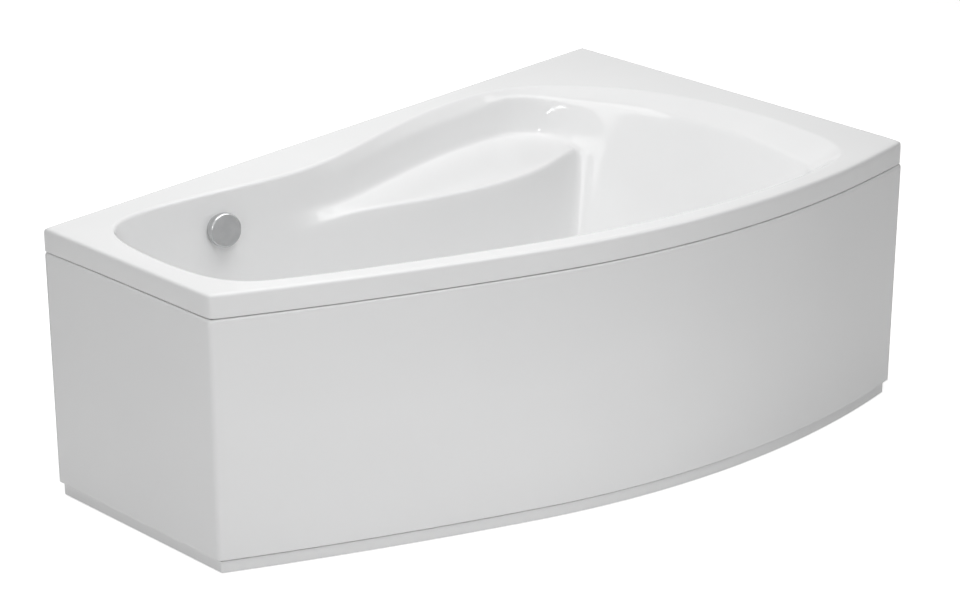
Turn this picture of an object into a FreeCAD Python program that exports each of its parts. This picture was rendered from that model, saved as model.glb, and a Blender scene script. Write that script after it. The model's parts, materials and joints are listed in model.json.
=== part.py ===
"""Asymmetric bathtub with apron panel, levelling feet, waste and overflow. Millimetres.

+X runs from the narrow foot end to the wide head end, +Y points to the long wall, +Z is up.
The origin is on the floor, under the middle of the rim's bounding rectangle.
"""
import FreeCAD
import Part
import math
import os

Vec = FreeCAD.Vector
UP = Vec(0, 0, 1)

# Overall form
overall_length = 1600.0
overall_depth = 950.0
foot_end_width = 500.0
rim_height = 600.0
floor_height = 190.0
belly_station_share = 0.8375
belly_round_share = 0.8333
run_round_share = 3.784
rim_corner_radius = 14.0
cut_overrun = 1.0
flat_tolerance = 0.001

# Acrylic shell
sheet = 6.0
skirt_height = 50.0
rim_round = 8.0
front_rim_width = 44.0
shelf_depth = 100.0
shelf_wall_run = 13.0
neck_rest_drop = 28.0
neck_rest_width = 62.0
front_wall_run = 65.0
floor_flat_inset = 125.0
rim_edge_lead = 26.0
rim_edge_trim = 16.0
neck_rest_trim = 18.0
shelf_cove_trim = 35.0
shelf_lip_trim = 22.0
floor_cove_trim = 100.0

# Base board, rails and their wood screws
board_thickness = 16.0
board_opening_radius = 62.0
rail_width = 40.0
rail_height = 25.0
rail_sheet = 2.0
rail_overhang = 70.0
rail_shares = (0.156, 0.4375, 0.681)
rail_screw_shares = (0.3, 0.7)
wood_screw_radius = 2.0
wood_screw_head_radius = 4.0
wood_screw_head_height = 2.5
screw_clearance = 0.05
screw_hole_clearance = 0.4
rail_screw_bite = 12.0

# Levelling feet
rod_radius = 6.0
rod_clearance = 0.08
rod_hole_clearance = 0.5
rod_above_nut = 38.0
foot_overhang = 28.0
nut_height = 10.0
nut_corner_radius = 11.0
pad_radius = 28.0
pad_height = 10.0
pad_boss_radius = 12.0
pad_boss_height = 14.0
pad_floor = 6.0
pad_chamfer = 2.5

# Apron panel
panel_inset = 1.5
panel_sheet = 4.0
panel_gap = 2.5
panel_foot = 35.0
panel_wall_gap = 2.0
panel_floor_gap = 2.0
panel_round = 3.0
plinth_recess = 10.0
top_lip_reach = 24.0
foot_lip_reach = 40.0

# Rim blocks, panel clips and wall brackets
block_length = 110.0
block_inset = 8.0
clip_block_width = 14.0
clip_block_height = 34.0
bracket_block_width = 26.0
clip_width = 30.0
clip_sheet = 2.0
clip_outer = 28.0
clip_hook_start = 14.0
clip_screw_bite = 18.0
clip_front_shares = (0.12, 0.36, 0.60, 0.84)
clip_foot_shares = (0.30, 0.75)
bracket_sheet = 3.0
bracket_width = 60.0
bracket_drop = 95.0
bracket_hole_radius = 3.5
bracket_hole_spacing = 36.0
bracket_hole_drop = 70.0
bracket_screw_spacing = 30.0
bracket_wall_shares = (0.12, 0.72)
bracket_head_share = 0.45

# Panel stays between the rails and the panel's foot lip
stay_width = 30.0
stay_sheet = 3.0
stay_start = 38.0
stay_bolt_overhang = 48.0
stay_bolt_radius = 3.0
stay_bolt_head_radius = 5.0
stay_bolt_head_height = 4.0
stay_leg_inset = 50.0
stay_toe_reach = 25.0
stay_toe_screw_inset = 33.0

# Overflow
overflow_station_share = 0.23125
overflow_drop = 78.0
overflow_hole_radius = 26.0
overflow_seat_gap = 0.4
overflow_gasket_thickness = 4.0
overflow_flange_radius = 36.0
overflow_flange_thickness = 4.0
overflow_cup_radius = 30.0
overflow_cup_depth = 32.0
overflow_wall = 3.0
overflow_throat_radius = 25.0
outlet_radius = 20.0
outlet_drop = 62.0
spider_width = 10.0
spider_thickness = 6.0
rosette_radius = 31.0
rosette_thickness = 3.5
rosette_opening_radius = 22.0
rosette_screw_spacing = 28.0
spindle_radius = 5.0
spindle_clearance = 0.08
drum_radius = 14.0
drum_thickness = 8.0
drum_gap = 4.0
knob_standoff = 7.0
knob_depth = 21.0
knob_radius = 36.0
knob_back_radius = 33.5
knob_wall = 2.5
knob_band = 12.0
knob_round = 2.0
knob_hub_radius = 9.0
knob_hub_bite = 11.0

# Overflow pipe, union nuts and the conduit of the pull wire
pipe_radius = 16.0
pipe_bore = 13.0
pipe_bend = 60.0
union_radius = 24.0
union_grip = 18.0
union_lip = 8.0
union_clearance = 0.05
union_flats = 10
conduit_radius = 3.0
conduit_bore = 1.5
conduit_offset = 33.0
conduit_boss_radius = 7.0
conduit_boss_drop = 34.0
conduit_boss_reach = 50.0
conduit_bend = 70.0
conduit_clip_height = 10.0
conduit_clip_wall = 3.0
conduit_clip_shares = (0.3, 0.72)

# Waste
waste_share = (0.2156, 0.52)
waste_hole_radius = 26.0
waste_seal_thickness = 1.0
waste_flange_radius = 36.0
waste_flange_thickness = 2.5
waste_bore = 22.0
waste_tube_radius = 25.0
waste_tube_length = 23.0
waste_gasket_thickness = 4.0
waste_body_flange_radius = 42.0
waste_neck_height = 8.0
waste_neck_clearance = 0.1
waste_cup_radius = 36.0
waste_cup_depth = 62.0
waste_inlet_reach = 62.0
waste_inlet_drop = 34.0
waste_outlet_drop = 22.0
plug_radius = 26.0
plug_gap = 0.5
plug_edge = 2.0
plug_dome = 5.0
plug_stem_radius = 3.5
plug_stem_length = 42.0
plug_seal_radius = 21.5
plug_seal_bore = 16.0
plug_seal_height = 3.5

# Trap and drain outlet
trap_wall = 3.0
trap_drop = 26.0
trap_bend = 36.0
trap_rise = 12.0
trap_lead = 20.0
drain_wall_gap = 60.0
drain_spigot_length = 60.0
drain_bead_radius = 22.5
drain_bead_width = 4.0

foot_x = -overall_length / 2
head_x = overall_length / 2
wall_y = overall_depth / 2
front_y = wall_y - overall_depth
basin_depth = rim_height - floor_height
skirt_foot = rim_height - skirt_height
rim_under = rim_height - sheet
floor_under = floor_height - sheet
board_under = floor_under - board_thickness
rail_foot = board_under - rail_height
panel_top = skirt_foot - panel_gap


def ring_meet(first, first_radius, second, second_radius):
    """The upper crossing of two circles in plan."""
    span = second - first
    gap = span.Length
    along = (first_radius ** 2 - second_radius ** 2 + gap ** 2) / (2 * gap)
    rise = math.sqrt(first_radius ** 2 - along ** 2)
    unit = span / gap
    one = first + unit * along + UP.cross(unit) * rise
    two = first + unit * along - UP.cross(unit) * rise
    return one if one.y > two.y else two


# The front outline in plan: a nearly straight run out of the narrow end, then a round belly.
# One arc alone from the narrow corner to the belly would have the single radius
belly_station = belly_station_share * overall_length
front_step = overall_depth - foot_end_width
single_radius = (belly_station ** 2 + front_step ** 2) / (2 * front_step)
belly_radius = belly_round_share * single_radius
run_radius = run_round_share * belly_radius
belly_centre = Vec(foot_x + belly_station, front_y + belly_radius, 0)
narrow_corner = Vec(foot_x, wall_y - foot_end_width, 0)
run_centre = ring_meet(narrow_corner, run_radius, belly_centre, run_radius - belly_radius)
run_to_belly = belly_centre + (belly_centre - run_centre).normalize() * belly_radius


def front_ring(x):
    """The centre and radius of the front outline's arc at x."""
    return (belly_centre, belly_radius) if x >= run_to_belly.x else (run_centre, run_radius)


def front_at(x, offset=0.0):
    """The front outline's point at x, with the outline moved inwards by offset."""
    centre, radius = front_ring(x)
    return Vec(x, centre.y - math.sqrt((radius - offset) ** 2 - (x - centre.x) ** 2), 0)


def corner_centre(x, centre, radius):
    """The centre of the round between an end of the rim and the front outline."""
    reach = math.sqrt((radius - rim_corner_radius) ** 2 - (x - centre.x) ** 2)
    return Vec(x, centre.y - reach, 0)


narrow_round = corner_centre(foot_x + rim_corner_radius, run_centre, run_radius)
wide_round = corner_centre(head_x - rim_corner_radius, belly_centre, belly_radius)
foot_wall_round = Vec(foot_x + rim_corner_radius, wall_y - rim_corner_radius, 0)
head_wall_round = Vec(head_x - rim_corner_radius, wall_y - rim_corner_radius, 0)


def on_ring(centre, towards, radius):
    return centre + (towards - centre).normalize() * radius


def arc_edge(centre, start, end, radius):
    """The shorter arc about centre from start to end."""
    return Part.Arc(start, on_ring(centre, (start + end) / 2, radius), end).toShape()


def front_edges(offset, end):
    """The narrow corner, the run and the belly, offset inwards: start point and edges up to end."""
    corner = rim_corner_radius - offset
    belly_start = on_ring(belly_centre, run_to_belly, belly_radius - offset)
    if corner > flat_tolerance:
        start = narrow_round - Vec(corner, 0, 0)
        run_start = on_ring(run_centre, narrow_round, run_radius - offset)
        edges = [arc_edge(narrow_round, start, run_start, corner)]
    else:
        start = run_start = front_at(foot_x + offset, offset)
        edges = []
    edges.append(arc_edge(run_centre, run_start, belly_start, run_radius - offset))
    edges.append(arc_edge(belly_centre, belly_start, end, belly_radius - offset))
    return start, edges


def rim_wire(offset, z):
    """The closed rim outline, offset inwards, at height z."""
    corner = rim_corner_radius - offset
    belly_end = on_ring(belly_centre, wide_round, belly_radius - offset)
    start, edges = front_edges(offset, belly_end)
    wide_end = wide_round + Vec(corner, 0, 0)
    head_side = head_wall_round + Vec(corner, 0, 0)
    head_back = head_wall_round + Vec(0, corner, 0)
    foot_back = foot_wall_round + Vec(0, corner, 0)
    foot_side = foot_wall_round - Vec(corner, 0, 0)
    edges.append(arc_edge(wide_round, belly_end, wide_end, corner))
    edges.append(Part.makeLine(wide_end, head_side))
    edges.append(arc_edge(head_wall_round, head_side, head_back, corner))
    edges.append(Part.makeLine(head_back, foot_back))
    edges.append(arc_edge(foot_wall_round, foot_back, foot_side, corner))
    edges.append(Part.makeLine(foot_side, start))
    wire = Part.Wire(edges)
    wire.translate(UP * z)
    return wire


def prism(wire, height):
    return Part.Face(wire).extrude(UP * height)


def rod(base, end, radius):
    """A round bar from base to end."""
    way = end - base
    return Part.makeCylinder(radius, way.Length, base, way)


def column(point, low, high, radius):
    """An upright round bar over a plan point."""
    return rod(Vec(point.x, point.y, low), Vec(point.x, point.y, high), radius)


def hexagon(point, low, high, radius):
    corners = []
    for k in range(6):
        turn = math.tau * k / 6
        corners.append(point + Vec(math.cos(turn), math.sin(turn), 0) * radius)
    nut = Part.Face(Part.makePolygon(corners + corners[:1])).extrude(UP * (high - low))
    nut.translate(UP * low)
    return nut


def join(shapes):
    return shapes[0].multiFuse(shapes[1:]).removeSplitter()


def place(x_share, depth_share):
    """A plan point: share of the length from the foot end, share of the local depth from the wall."""
    x = foot_x + x_share * overall_length
    return Vec(x, wall_y - depth_share * (wall_y - front_at(x).y), 0)


# Stations round the basin: rim edge, then floor corner, both as shares of length and local depth
wall_run_shares = [
    (0.0575, 0.174, 0.105, 0.268), (0.097, 0.117, 0.128, 0.230), (0.1625, 0.119, 0.178, 0.225),
    (0.228, 0.135, 0.2375, 0.233), (0.294, 0.157, 0.299, 0.247), (0.356, 0.1675, 0.3575, 0.263)]
shelf_wall_shares = [
    (0.419, 0.154, 0.4175, 0.2865), (0.481, 0.1235, 0.478, 0.319), (0.544, 0.0945, 0.5375, 0.345),
    (0.606, 0.071, 0.594, 0.3645), (0.669, 0.060, 0.644, 0.3745), (0.728, 0.0615, 0.678, 0.378)]
shelf_neck_shares = [(0.781, 0.078, 0.699, 0.3815), (0.826, 0.124, 0.714, 0.396)]
head_end_shares = [
    (0.865, 0.200, 0.728, 0.4215), (0.896, 0.2765, 0.742, 0.456), (0.919, 0.3595, 0.754, 0.497),
    (0.935, 0.450, 0.762, 0.543), (0.9445, 0.5435, 0.766, 0.592), (0.9475, 0.637, 0.767, 0.642),
    (0.945, 0.730, 0.7625, 0.693), (0.939, 0.8165, 0.753, 0.744), (0.9275, 0.8915, 0.739, 0.792),
    (0.900, 0.945, 0.714, 0.836)]
front_shares = [
    (0.850, 0.681), (0.790, 0.641), (0.719, 0.591), (0.631, 0.531), (0.5375, 0.459),
    (0.444, 0.381), (0.350, 0.304), (0.256, 0.230), (0.169, 0.164), (0.100, 0.119)]
foot_end_shares = [
    (0.060, 0.896, 0.097, 0.741), (0.039, 0.809, 0.0875, 0.669), (0.0325, 0.643, 0.084, 0.5555),
    (0.034, 0.4625, 0.0845, 0.429), (0.040, 0.303, 0.0905, 0.332)]

# The shelf's front edge at its stations, and the neck rest's width and drop at its own
shelf_first = len(wall_run_shares)
shelf_shares = [
    (0.4175, 0.226), (0.480, 0.269), (0.541, 0.2985), (0.601, 0.320), (0.6625, 0.331),
    (0.722, 0.319), (0.766, 0.299), (0.803, 0.279)]
neck_first = shelf_first + len(shelf_wall_shares)
neck_width_shares = [0.22, 0.55, 0.74, 0.80, 0.84, 0.90, 1.0, 1.08, 1.2, 1.36, 1.4, 1.15, 0.55, 0.15]
neck_drop_shares = [0.4, 0.6, 0.8, 0.9, 1.0, 1.0, 1.0, 1.0, 1.0, 1.0, 1.0, 1.0, 1.0, 1.0]
wall_knee_shares = (0.8, 1.25)
spine_shares = ((0.20, 0.53), (0.62, 0.62))
half_way_share = 0.48


def basin_edges():
    """The rim edge and floor corner of every station, in plan, round the basin."""
    edge, corner = [], []
    wall_side_shares = wall_run_shares + shelf_wall_shares + shelf_neck_shares
    for x, depth, floor_x, floor_depth in wall_side_shares + head_end_shares:
        edge.append(place(x, depth))
        corner.append(place(floor_x, floor_depth))
    for x, floor_x in front_shares:
        edge.append(front_at(foot_x + x * overall_length, front_rim_width))
        corner.append(front_at(foot_x + floor_x * overall_length, front_rim_width + front_wall_run))
    for x, depth, floor_x, floor_depth in foot_end_shares:
        edge.append(place(x, depth))
        corner.append(place(floor_x, floor_depth))
    return edge, corner


def toward(start, end, reach):
    """The point at most reach along the way from start to end, within the nearer half."""
    way = end - start
    return start + way * min(reach / way.Length, half_way_share)


def spine_point(point):
    """The nearest point of the floor's middle line."""
    start, end = (place(*share) for share in spine_shares)
    way = end - start
    along = (point - start).dot(way) / way.dot(way)
    return start + way * min(max(along, 0.0), 1.0)


def at_depth(plan_point, depth):
    return Vec(plan_point.x, plan_point.y, rim_height - depth)


def basin_net(edge, corner):
    """Control net of the basin: one line of points per station, from the rim down to the floor."""
    count = len(edge)
    trims = [rim_edge_trim, neck_rest_trim, shelf_cove_trim, shelf_lip_trim, floor_cove_trim]
    net = []
    for i in range(count):
        inward = (edge[(i + 1) % count] - edge[i - 1]).cross(UP).normalize()
        rim = at_depth(edge[i], 0)
        base = at_depth(corner[i], basin_depth)
        neck = i - neck_first
        if 0 <= neck < len(neck_width_shares):
            width = neck_width_shares[neck] * neck_rest_width
            knee = at_depth(edge[i] + inward * width, neck_drop_shares[neck] * neck_rest_drop)
        else:
            knee = rim + (base - rim) * (neck_rest_drop / basin_depth)
        shelf = i - shelf_first
        if 0 <= shelf < len(shelf_shares):
            lip = at_depth(place(*shelf_shares[shelf]), shelf_depth)
            foot = Vec(knee.x, knee.y, lip.z)
            cove = foot + (lip - foot).normalize() * shelf_wall_run
        else:
            drops = [share * shelf_depth - (rim_height - knee.z) for share in wall_knee_shares]
            cove, lip = (knee + (base - knee) * (drop / (knee.z - base.z)) for drop in drops)
        spine = at_depth(spine_point(corner[i]), basin_depth)
        flat = base + (spine - base).normalize() * floor_flat_inset
        lead = rim - inward * rim_edge_lead
        corners = [lead, rim, knee, cove, lip, base, flat]
        line = [lead]
        for k, trim in enumerate(trims, 1):
            line += [toward(corners[k], corners[k - 1], trim), corners[k]]
            line.append(toward(corners[k], corners[k + 1], trim))
        net.append(line + [flat])
    return net


def under_net(net):
    """The net of the sheet's underside: each point moved out by the sheet's thickness."""
    count, rows = len(net), len(net[0])
    under = []
    for i in range(count):
        line = []
        for j in range(rows):
            normal = -UP
            if 0 < j < rows - 1:
                along = net[(i + 1) % count][j] - net[i - 1][j]
                normal = along.cross(net[i][j + 1] - net[i][j - 1]).normalize()
            line.append(net[i][j] + normal * sheet)
        under.append(line)
    return under


def skin(net):
    """A smooth surface over a control net, closed round the stations."""
    count, rows = len(net), len(net[0])
    surface = Part.BSplineSurface()
    down_mults = [4] + [1] * (rows - 4) + [4]
    surface.buildFromPolesMultsKnots(
        net, [1] * (count + 1), down_mults, list(range(count + 1)), list(range(rows - 2)), True, False, 3, 3)
    return surface


def lies_at(shape, z):
    box = shape.BoundBox
    return abs(box.ZMin - z) < flat_tolerance and abs(box.ZMax - z) < flat_tolerance


def end_wire(face, z):
    """The closed edge of a skin that lies at height z."""
    return Part.Wire([e for e in face.Edges if e.isClosed() and lies_at(e, z)])


def make_bath_shell(top_skin, under_skin):
    """Rim tray with a round top edge, opened by the basin, closed into one sheet."""
    tray = prism(rim_wire(0.0, skirt_foot), skirt_height)
    tray = tray.makeFillet(rim_round, [e for e in tray.Edges if lies_at(e, rim_height)])
    tray = tray.cut(prism(rim_wire(sheet, skirt_foot - cut_overrun), rim_under - skirt_foot + cut_overrun))
    top, under = top_skin.toShape(), under_skin.toShape()
    faces = [top, under]
    for face in tray.Faces:
        if lies_at(face, rim_height):
            face = Part.makeFace([face.OuterWire, end_wire(top, rim_height)], "Part::FaceMakerBullseye")
        elif lies_at(face, rim_under):
            face = Part.makeFace([face.OuterWire, end_wire(under, rim_under)], "Part::FaceMakerBullseye")
        faces.append(face)
    faces.append(Part.Face(end_wire(top, floor_height)))
    faces.append(Part.Face(end_wire(under, floor_under)))
    closed = Part.makeShell(faces)
    closed.sewShape()
    shell = Part.Solid(closed)
    return shell if shell.Volume > 0 else shell.reversed()


parts = {}
edge_line, corner_line = basin_edges()
net = basin_net(edge_line, corner_line)
basin_skin = skin(net)
bath_shell = make_bath_shell(basin_skin, skin(under_net(net)))

# Rails across the floor, each with a foot near both ends
rail_stations = [foot_x + share * overall_length for share in rail_shares]


def floor_span(x):
    """Where the floor's corner line crosses x: its wall side and front side."""
    hits = []
    for start, end in zip(corner_line, corner_line[1:] + corner_line[:1]):
        if (start.x - x) * (end.x - x) <= 0 and start.x != end.x:
            hits.append(start.y + (end.y - start.y) * (x - start.x) / (end.x - start.x))
    return max(hits), min(hits)


def box(low, high):
    size = high - low
    return Part.makeBox(size.x, size.y, size.z, low)


def wood_screw(base, way, bite):
    """A pan head screw whose head sits at base, with its shank going into the wood along way."""
    head = rod(base - way * wood_screw_head_height, base, wood_screw_head_radius)
    return head.fuse(rod(base, base + way * bite, wood_screw_radius)).removeSplitter()


board_line = [net[i][-2] for i in range(0, len(net), 3)]
board = Part.Face(Part.makePolygon(board_line + board_line[:1])).extrude(-UP * board_thickness)
board.translate(UP * (floor_under - floor_height))
waste = place(*waste_share)
board = board.cut(column(waste, board_under - cut_overrun, floor_under + cut_overrun, board_opening_radius))

rails, rail_screws, lock_nuts = [], [], []
foot_points, stay_points = [], []
for x in rail_stations:
    back, front = floor_span(x)
    low = Vec(x - rail_width / 2, front - rail_overhang, rail_foot)
    high = Vec(x + rail_width / 2, back + rail_overhang, board_under)
    inner_low = low + Vec(rail_sheet, -cut_overrun, -cut_overrun)
    inner_high = high + Vec(-rail_sheet, cut_overrun, -rail_sheet)
    rail = box(low, high).cut(box(inner_low, inner_high))
    web_under = board_under - rail_sheet
    for y in (back + foot_overhang, front - foot_overhang):
        point = Vec(x, y, 0)
        foot_points.append(point)
        rail = rail.cut(column(point, rail_foot, board_under + cut_overrun, rod_radius + rod_hole_clearance))
        for nut_low in (board_under, web_under - nut_height):
            nut_high = nut_low + nut_height
            nut = hexagon(point, nut_low, nut_high, nut_corner_radius)
            lock_nuts.append(nut.cut(column(point, nut_low, nut_high, rod_radius + rod_clearance)))
    for share in rail_screw_shares:
        point = Vec(x, back + (front - back) * share, web_under)
        rail_screws.append(wood_screw(point, UP, rail_sheet + rail_screw_bite))
        hole = wood_screw_radius + screw_hole_clearance
        rail = rail.cut(column(point, web_under - cut_overrun, board_under + cut_overrun, hole))
        pilot = wood_screw_radius + screw_clearance
        board = board.cut(column(point, board_under, board_under + rail_screw_bite, pilot))
    bolt = Vec(x, front - stay_bolt_overhang, 0)
    stay_points.append((bolt, front - stay_start))
    bolt_hole = stay_bolt_radius + screw_hole_clearance
    rail = rail.cut(column(bolt, web_under - cut_overrun, board_under + cut_overrun, bolt_hole))
    rails.append(rail)

parts["base_board"] = board
parts["rail_foot_end"], parts["rail_middle"], parts["rail_head_end"] = rails
parts["rail_screws"] = Part.Compound(rail_screws)
parts["foot_lock_nuts"] = Part.Compound(lock_nuts)

rod_top = board_under + nut_height + rod_above_nut
for k, point in enumerate(foot_points, 1):
    parts[f"foot_rod_{k}"] = column(point, pad_floor, rod_top, rod_radius)
    disc = column(point, 0.0, pad_height, pad_radius)
    disc = disc.makeChamfer(pad_chamfer, [e for e in disc.Edges if lies_at(e, pad_height)])
    pad_top = pad_height + pad_boss_height
    pad = disc.fuse(column(point, pad_height, pad_top, pad_boss_radius)).removeSplitter()
    parts[f"foot_pad_{k}"] = pad.cut(column(point, pad_floor, pad_top, rod_radius + screw_clearance))


# The apron: one sheet round the narrow end and the front, with lips and a set-back plinth
def apron_band(outer, inner, low, high):
    """A wall between two offsets of the outline, from the wall at the foot end to the head end."""
    end_x = head_x - panel_wall_gap
    outer_end, inner_end = front_at(end_x, outer), front_at(end_x, inner)
    outer_start, outer_edges = front_edges(outer, outer_end)
    inner_start, inner_edges = front_edges(inner, inner_end)
    outer_wall = Vec(outer_start.x, wall_y - panel_wall_gap, 0)
    inner_wall = Vec(inner_start.x, wall_y - panel_wall_gap, 0)
    edges = outer_edges + inner_edges
    edges.append(Part.makeLine(outer_wall, outer_start))
    edges.append(Part.makeLine(inner_wall, inner_start))
    edges.append(Part.makeLine(outer_wall, inner_wall))
    edges.append(Part.makeLine(outer_end, inner_end))
    wire = Part.Wire(Part.__sortEdges__(edges))
    band = Part.Face(wire).extrude(UP * (high - low))
    band.translate(UP * low)
    return band


panel_inner = panel_inset + panel_sheet
plinth_outer = panel_inset + plinth_recess
plinth_inner = plinth_outer + panel_sheet


def is_face_edge(edge):
    """True for an edge along the top or the foot of the apron's outer face."""
    if not (lies_at(edge, panel_top) or lies_at(edge, panel_foot)):
        return False
    middle = edge.valueAt((edge.FirstParameter + edge.LastParameter) / 2)
    plan_point = Vec(middle.x, middle.y, 0)
    depth = min(outer_face.distToShape(Part.Vertex(plan_point))[0], panel_sheet)
    return depth < flat_tolerance


face_end = front_at(head_x - panel_wall_gap, panel_inset)
face_start, face_edges = front_edges(panel_inset, face_end)
face_wall = Vec(face_start.x, wall_y - panel_wall_gap, 0)
outer_face = Part.Wire([Part.makeLine(face_wall, face_start)] + face_edges)
panel = apron_band(panel_inset, panel_inner, panel_foot, panel_top)
panel = panel.makeFillet(panel_round, [e for e in panel.Edges if is_face_edge(e)])
parts["front_panel"] = join([
    panel,
    apron_band(panel_inner, top_lip_reach, panel_top - panel_sheet, panel_top),
    apron_band(panel_inner, plinth_inner, panel_foot, panel_foot + panel_sheet),
    apron_band(plinth_outer, plinth_inner, panel_floor_gap, panel_foot),
    apron_band(plinth_inner, foot_lip_reach, panel_floor_gap, panel_floor_gap + panel_sheet)])


# Blocks under the rim, with the clips that carry the panel and the brackets that meet the walls
def front_frame(x):
    origin = front_at(x)
    return origin, (front_ring(x)[0] - origin).normalize()


def sweep_profile(frame, points, length):
    """A profile of (inset, height) points, drawn square to the rim and extruded along it."""
    origin, inward = frame
    along = inward.cross(UP)
    corners = [origin + inward * inset + UP * z - along * (length / 2) for inset, z in points]
    return Part.Face(Part.makePolygon(corners + corners[:1])).extrude(along * length)


def inset_box(frame, length, near, far, low, high):
    return sweep_profile(frame, [(near, low), (far, low), (far, high), (near, high)], length)


clip_frames = [front_frame(foot_x + share * overall_length) for share in clip_front_shares]
for share in clip_foot_shares:
    clip_frames.append((Vec(foot_x, wall_y - share * foot_end_width, 0), Vec(1, 0, 0)))
blocks, clips, clip_screws = [], [], []
clip_low = rim_under - clip_block_height
hook_top = panel_top - panel_sheet
for frame in clip_frames:
    block = inset_box(frame, block_length, block_inset, block_inset + clip_block_width, clip_low, rim_under)
    profile = [
        (block_inset, clip_low), (block_inset, clip_low - clip_sheet),
        (clip_outer - clip_sheet, clip_low - clip_sheet), (clip_outer - clip_sheet, hook_top),
        (clip_hook_start, hook_top), (clip_hook_start, hook_top - clip_sheet),
        (clip_outer, hook_top - clip_sheet), (clip_outer, clip_low)]
    clip = sweep_profile(frame, profile, clip_width)
    point = frame[0] + frame[1] * (block_inset + clip_block_width / 2) + UP * (clip_low - clip_sheet)
    clip_screws.append(wood_screw(point, UP, clip_sheet + clip_screw_bite))
    clips.append(clip.cut(rod(point, point + UP * clip_sheet, wood_screw_radius + screw_clearance)))
    pilot = rod(point, point + UP * (clip_sheet + clip_screw_bite), wood_screw_radius + screw_clearance)
    blocks.append(block.cut(pilot))

bracket_frames = [
    (Vec(foot_x + share * overall_length, wall_y, 0), Vec(0, -1, 0)) for share in bracket_wall_shares]
bracket_frames.append((Vec(head_x, wall_y - bracket_head_share * overall_depth, 0), Vec(-1, 0, 0)))
brackets, bracket_screws = [], []
bracket_far = block_inset + bracket_block_width
for frame in bracket_frames:
    origin, inward = frame
    along = inward.cross(UP)
    block = inset_box(frame, block_length, block_inset, bracket_far, skirt_foot, rim_under)
    bracket = sweep_profile(frame, [
        (0.0, skirt_foot), (bracket_far, skirt_foot), (bracket_far, skirt_foot - bracket_sheet),
        (bracket_sheet, skirt_foot - bracket_sheet), (bracket_sheet, skirt_foot - bracket_drop),
        (0.0, skirt_foot - bracket_drop)], bracket_width)
    for side in (-1, 1):
        hole = origin + along * (side * bracket_hole_spacing / 2) + UP * (skirt_foot - bracket_hole_drop)
        bracket = bracket.cut(rod(hole, hole + inward * bracket_sheet, bracket_hole_radius))
        point = origin + inward * ((block_inset + bracket_far) / 2) + UP * (skirt_foot - bracket_sheet)
        point += along * (side * bracket_screw_spacing / 2)
        bite = bracket_sheet + clip_screw_bite
        bracket_screws.append(wood_screw(point, UP, bite))
        pilot = rod(point, point + UP * bite, wood_screw_radius + screw_clearance)
        bracket = bracket.cut(pilot)
        block = block.cut(pilot)
    brackets.append(bracket)
    blocks.append(block)

parts["rim_blocks"] = Part.Compound(blocks)
parts["panel_clips"] = Part.Compound(clips)
parts["panel_clip_screws"] = Part.Compound(clip_screws)
parts["wall_brackets"] = Part.Compound(brackets)
parts["wall_bracket_screws"] = Part.Compound(bracket_screws)

# Stays: flat bars bolted under the rails, that hold the panel's foot lip
stays, stay_bolts, stay_screws = [], [], []
lip_top = panel_floor_gap + panel_sheet
for bolt, stay_y in stay_points:
    x = bolt.x
    leg_y = front_at(x, stay_leg_inset).y
    toe_y = front_at(x, stay_toe_reach).y
    left, right = x - stay_width / 2, x + stay_width / 2
    stay = join([
        box(Vec(left, leg_y, rail_foot - stay_sheet), Vec(right, stay_y, rail_foot)),
        box(Vec(left, leg_y, lip_top), Vec(right, leg_y + stay_sheet, rail_foot)),
        box(Vec(left, toe_y, lip_top), Vec(right, leg_y + stay_sheet, lip_top + stay_sheet))])
    bolt_low = rail_foot - stay_sheet
    shank = column(bolt, bolt_low, board_under + stay_bolt_head_height, stay_bolt_radius)
    head = column(bolt, bolt_low - stay_bolt_head_height, bolt_low, stay_bolt_head_radius)
    nut = hexagon(bolt, board_under, board_under + stay_bolt_head_height, stay_bolt_head_radius)
    stay_bolts.append(join([shank, head, nut]))
    stay = stay.cut(column(bolt, bolt_low, rail_foot, stay_bolt_radius + screw_hole_clearance))
    screw = Vec(x, front_at(x, stay_toe_screw_inset).y, lip_top + stay_sheet)
    stay_screws.append(wood_screw(screw, -UP, stay_sheet + panel_sheet))
    pilot = column(screw, panel_floor_gap, screw.z, wood_screw_radius + screw_clearance)
    stays.append(stay.cut(pilot))
    parts["front_panel"] = parts["front_panel"].cut(pilot)

parts["panel_stays"] = Part.Compound(stays)
parts["panel_stay_bolts"] = Part.Compound(stay_bolts)
parts["panel_stay_screws"] = Part.Compound(stay_screws)

# Overflow on the long wall, built along the wall's own normal
overflow_x = foot_x + overflow_station_share * overall_length
overflow_z = rim_height - overflow_drop
sight_start = Vec(overflow_x, spine_point(Vec(overflow_x, 0, 0)).y, overflow_z)
sight = Part.makeLine(sight_start, Vec(overflow_x, wall_y, overflow_z))
overflow = basin_skin.toShape().distToShape(sight)[1][0][0]
overflow_axis = basin_skin.normal(*basin_skin.parameter(overflow))
if overflow_axis.y > 0:
    overflow_axis = -overflow_axis
overflow_side = overflow_axis.cross(UP).normalize()


def along_overflow(depth):
    """The point on the overflow's axis at a distance into the basin from the wall's face."""
    return overflow + overflow_axis * depth


def overflow_bar(side, low, high, radius):
    """A round bar along the overflow's axis, set sideways from it."""
    aside = overflow_side * side
    return rod(along_overflow(low) + aside, along_overflow(high) + aside, radius)


def overflow_plate(width, length, low, high):
    """A flat bar across the overflow's axis."""
    rise = overflow_side.cross(overflow_axis)
    corners = []
    for side, lift in ((-1, -1), (1, -1), (1, 1), (-1, 1), (-1, -1)):
        corners.append(along_overflow(low) + overflow_side * (side * length / 2) + rise * (lift * width / 2))
    return Part.Face(Part.makePolygon(corners)).extrude(overflow_axis * (high - low))


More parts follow.
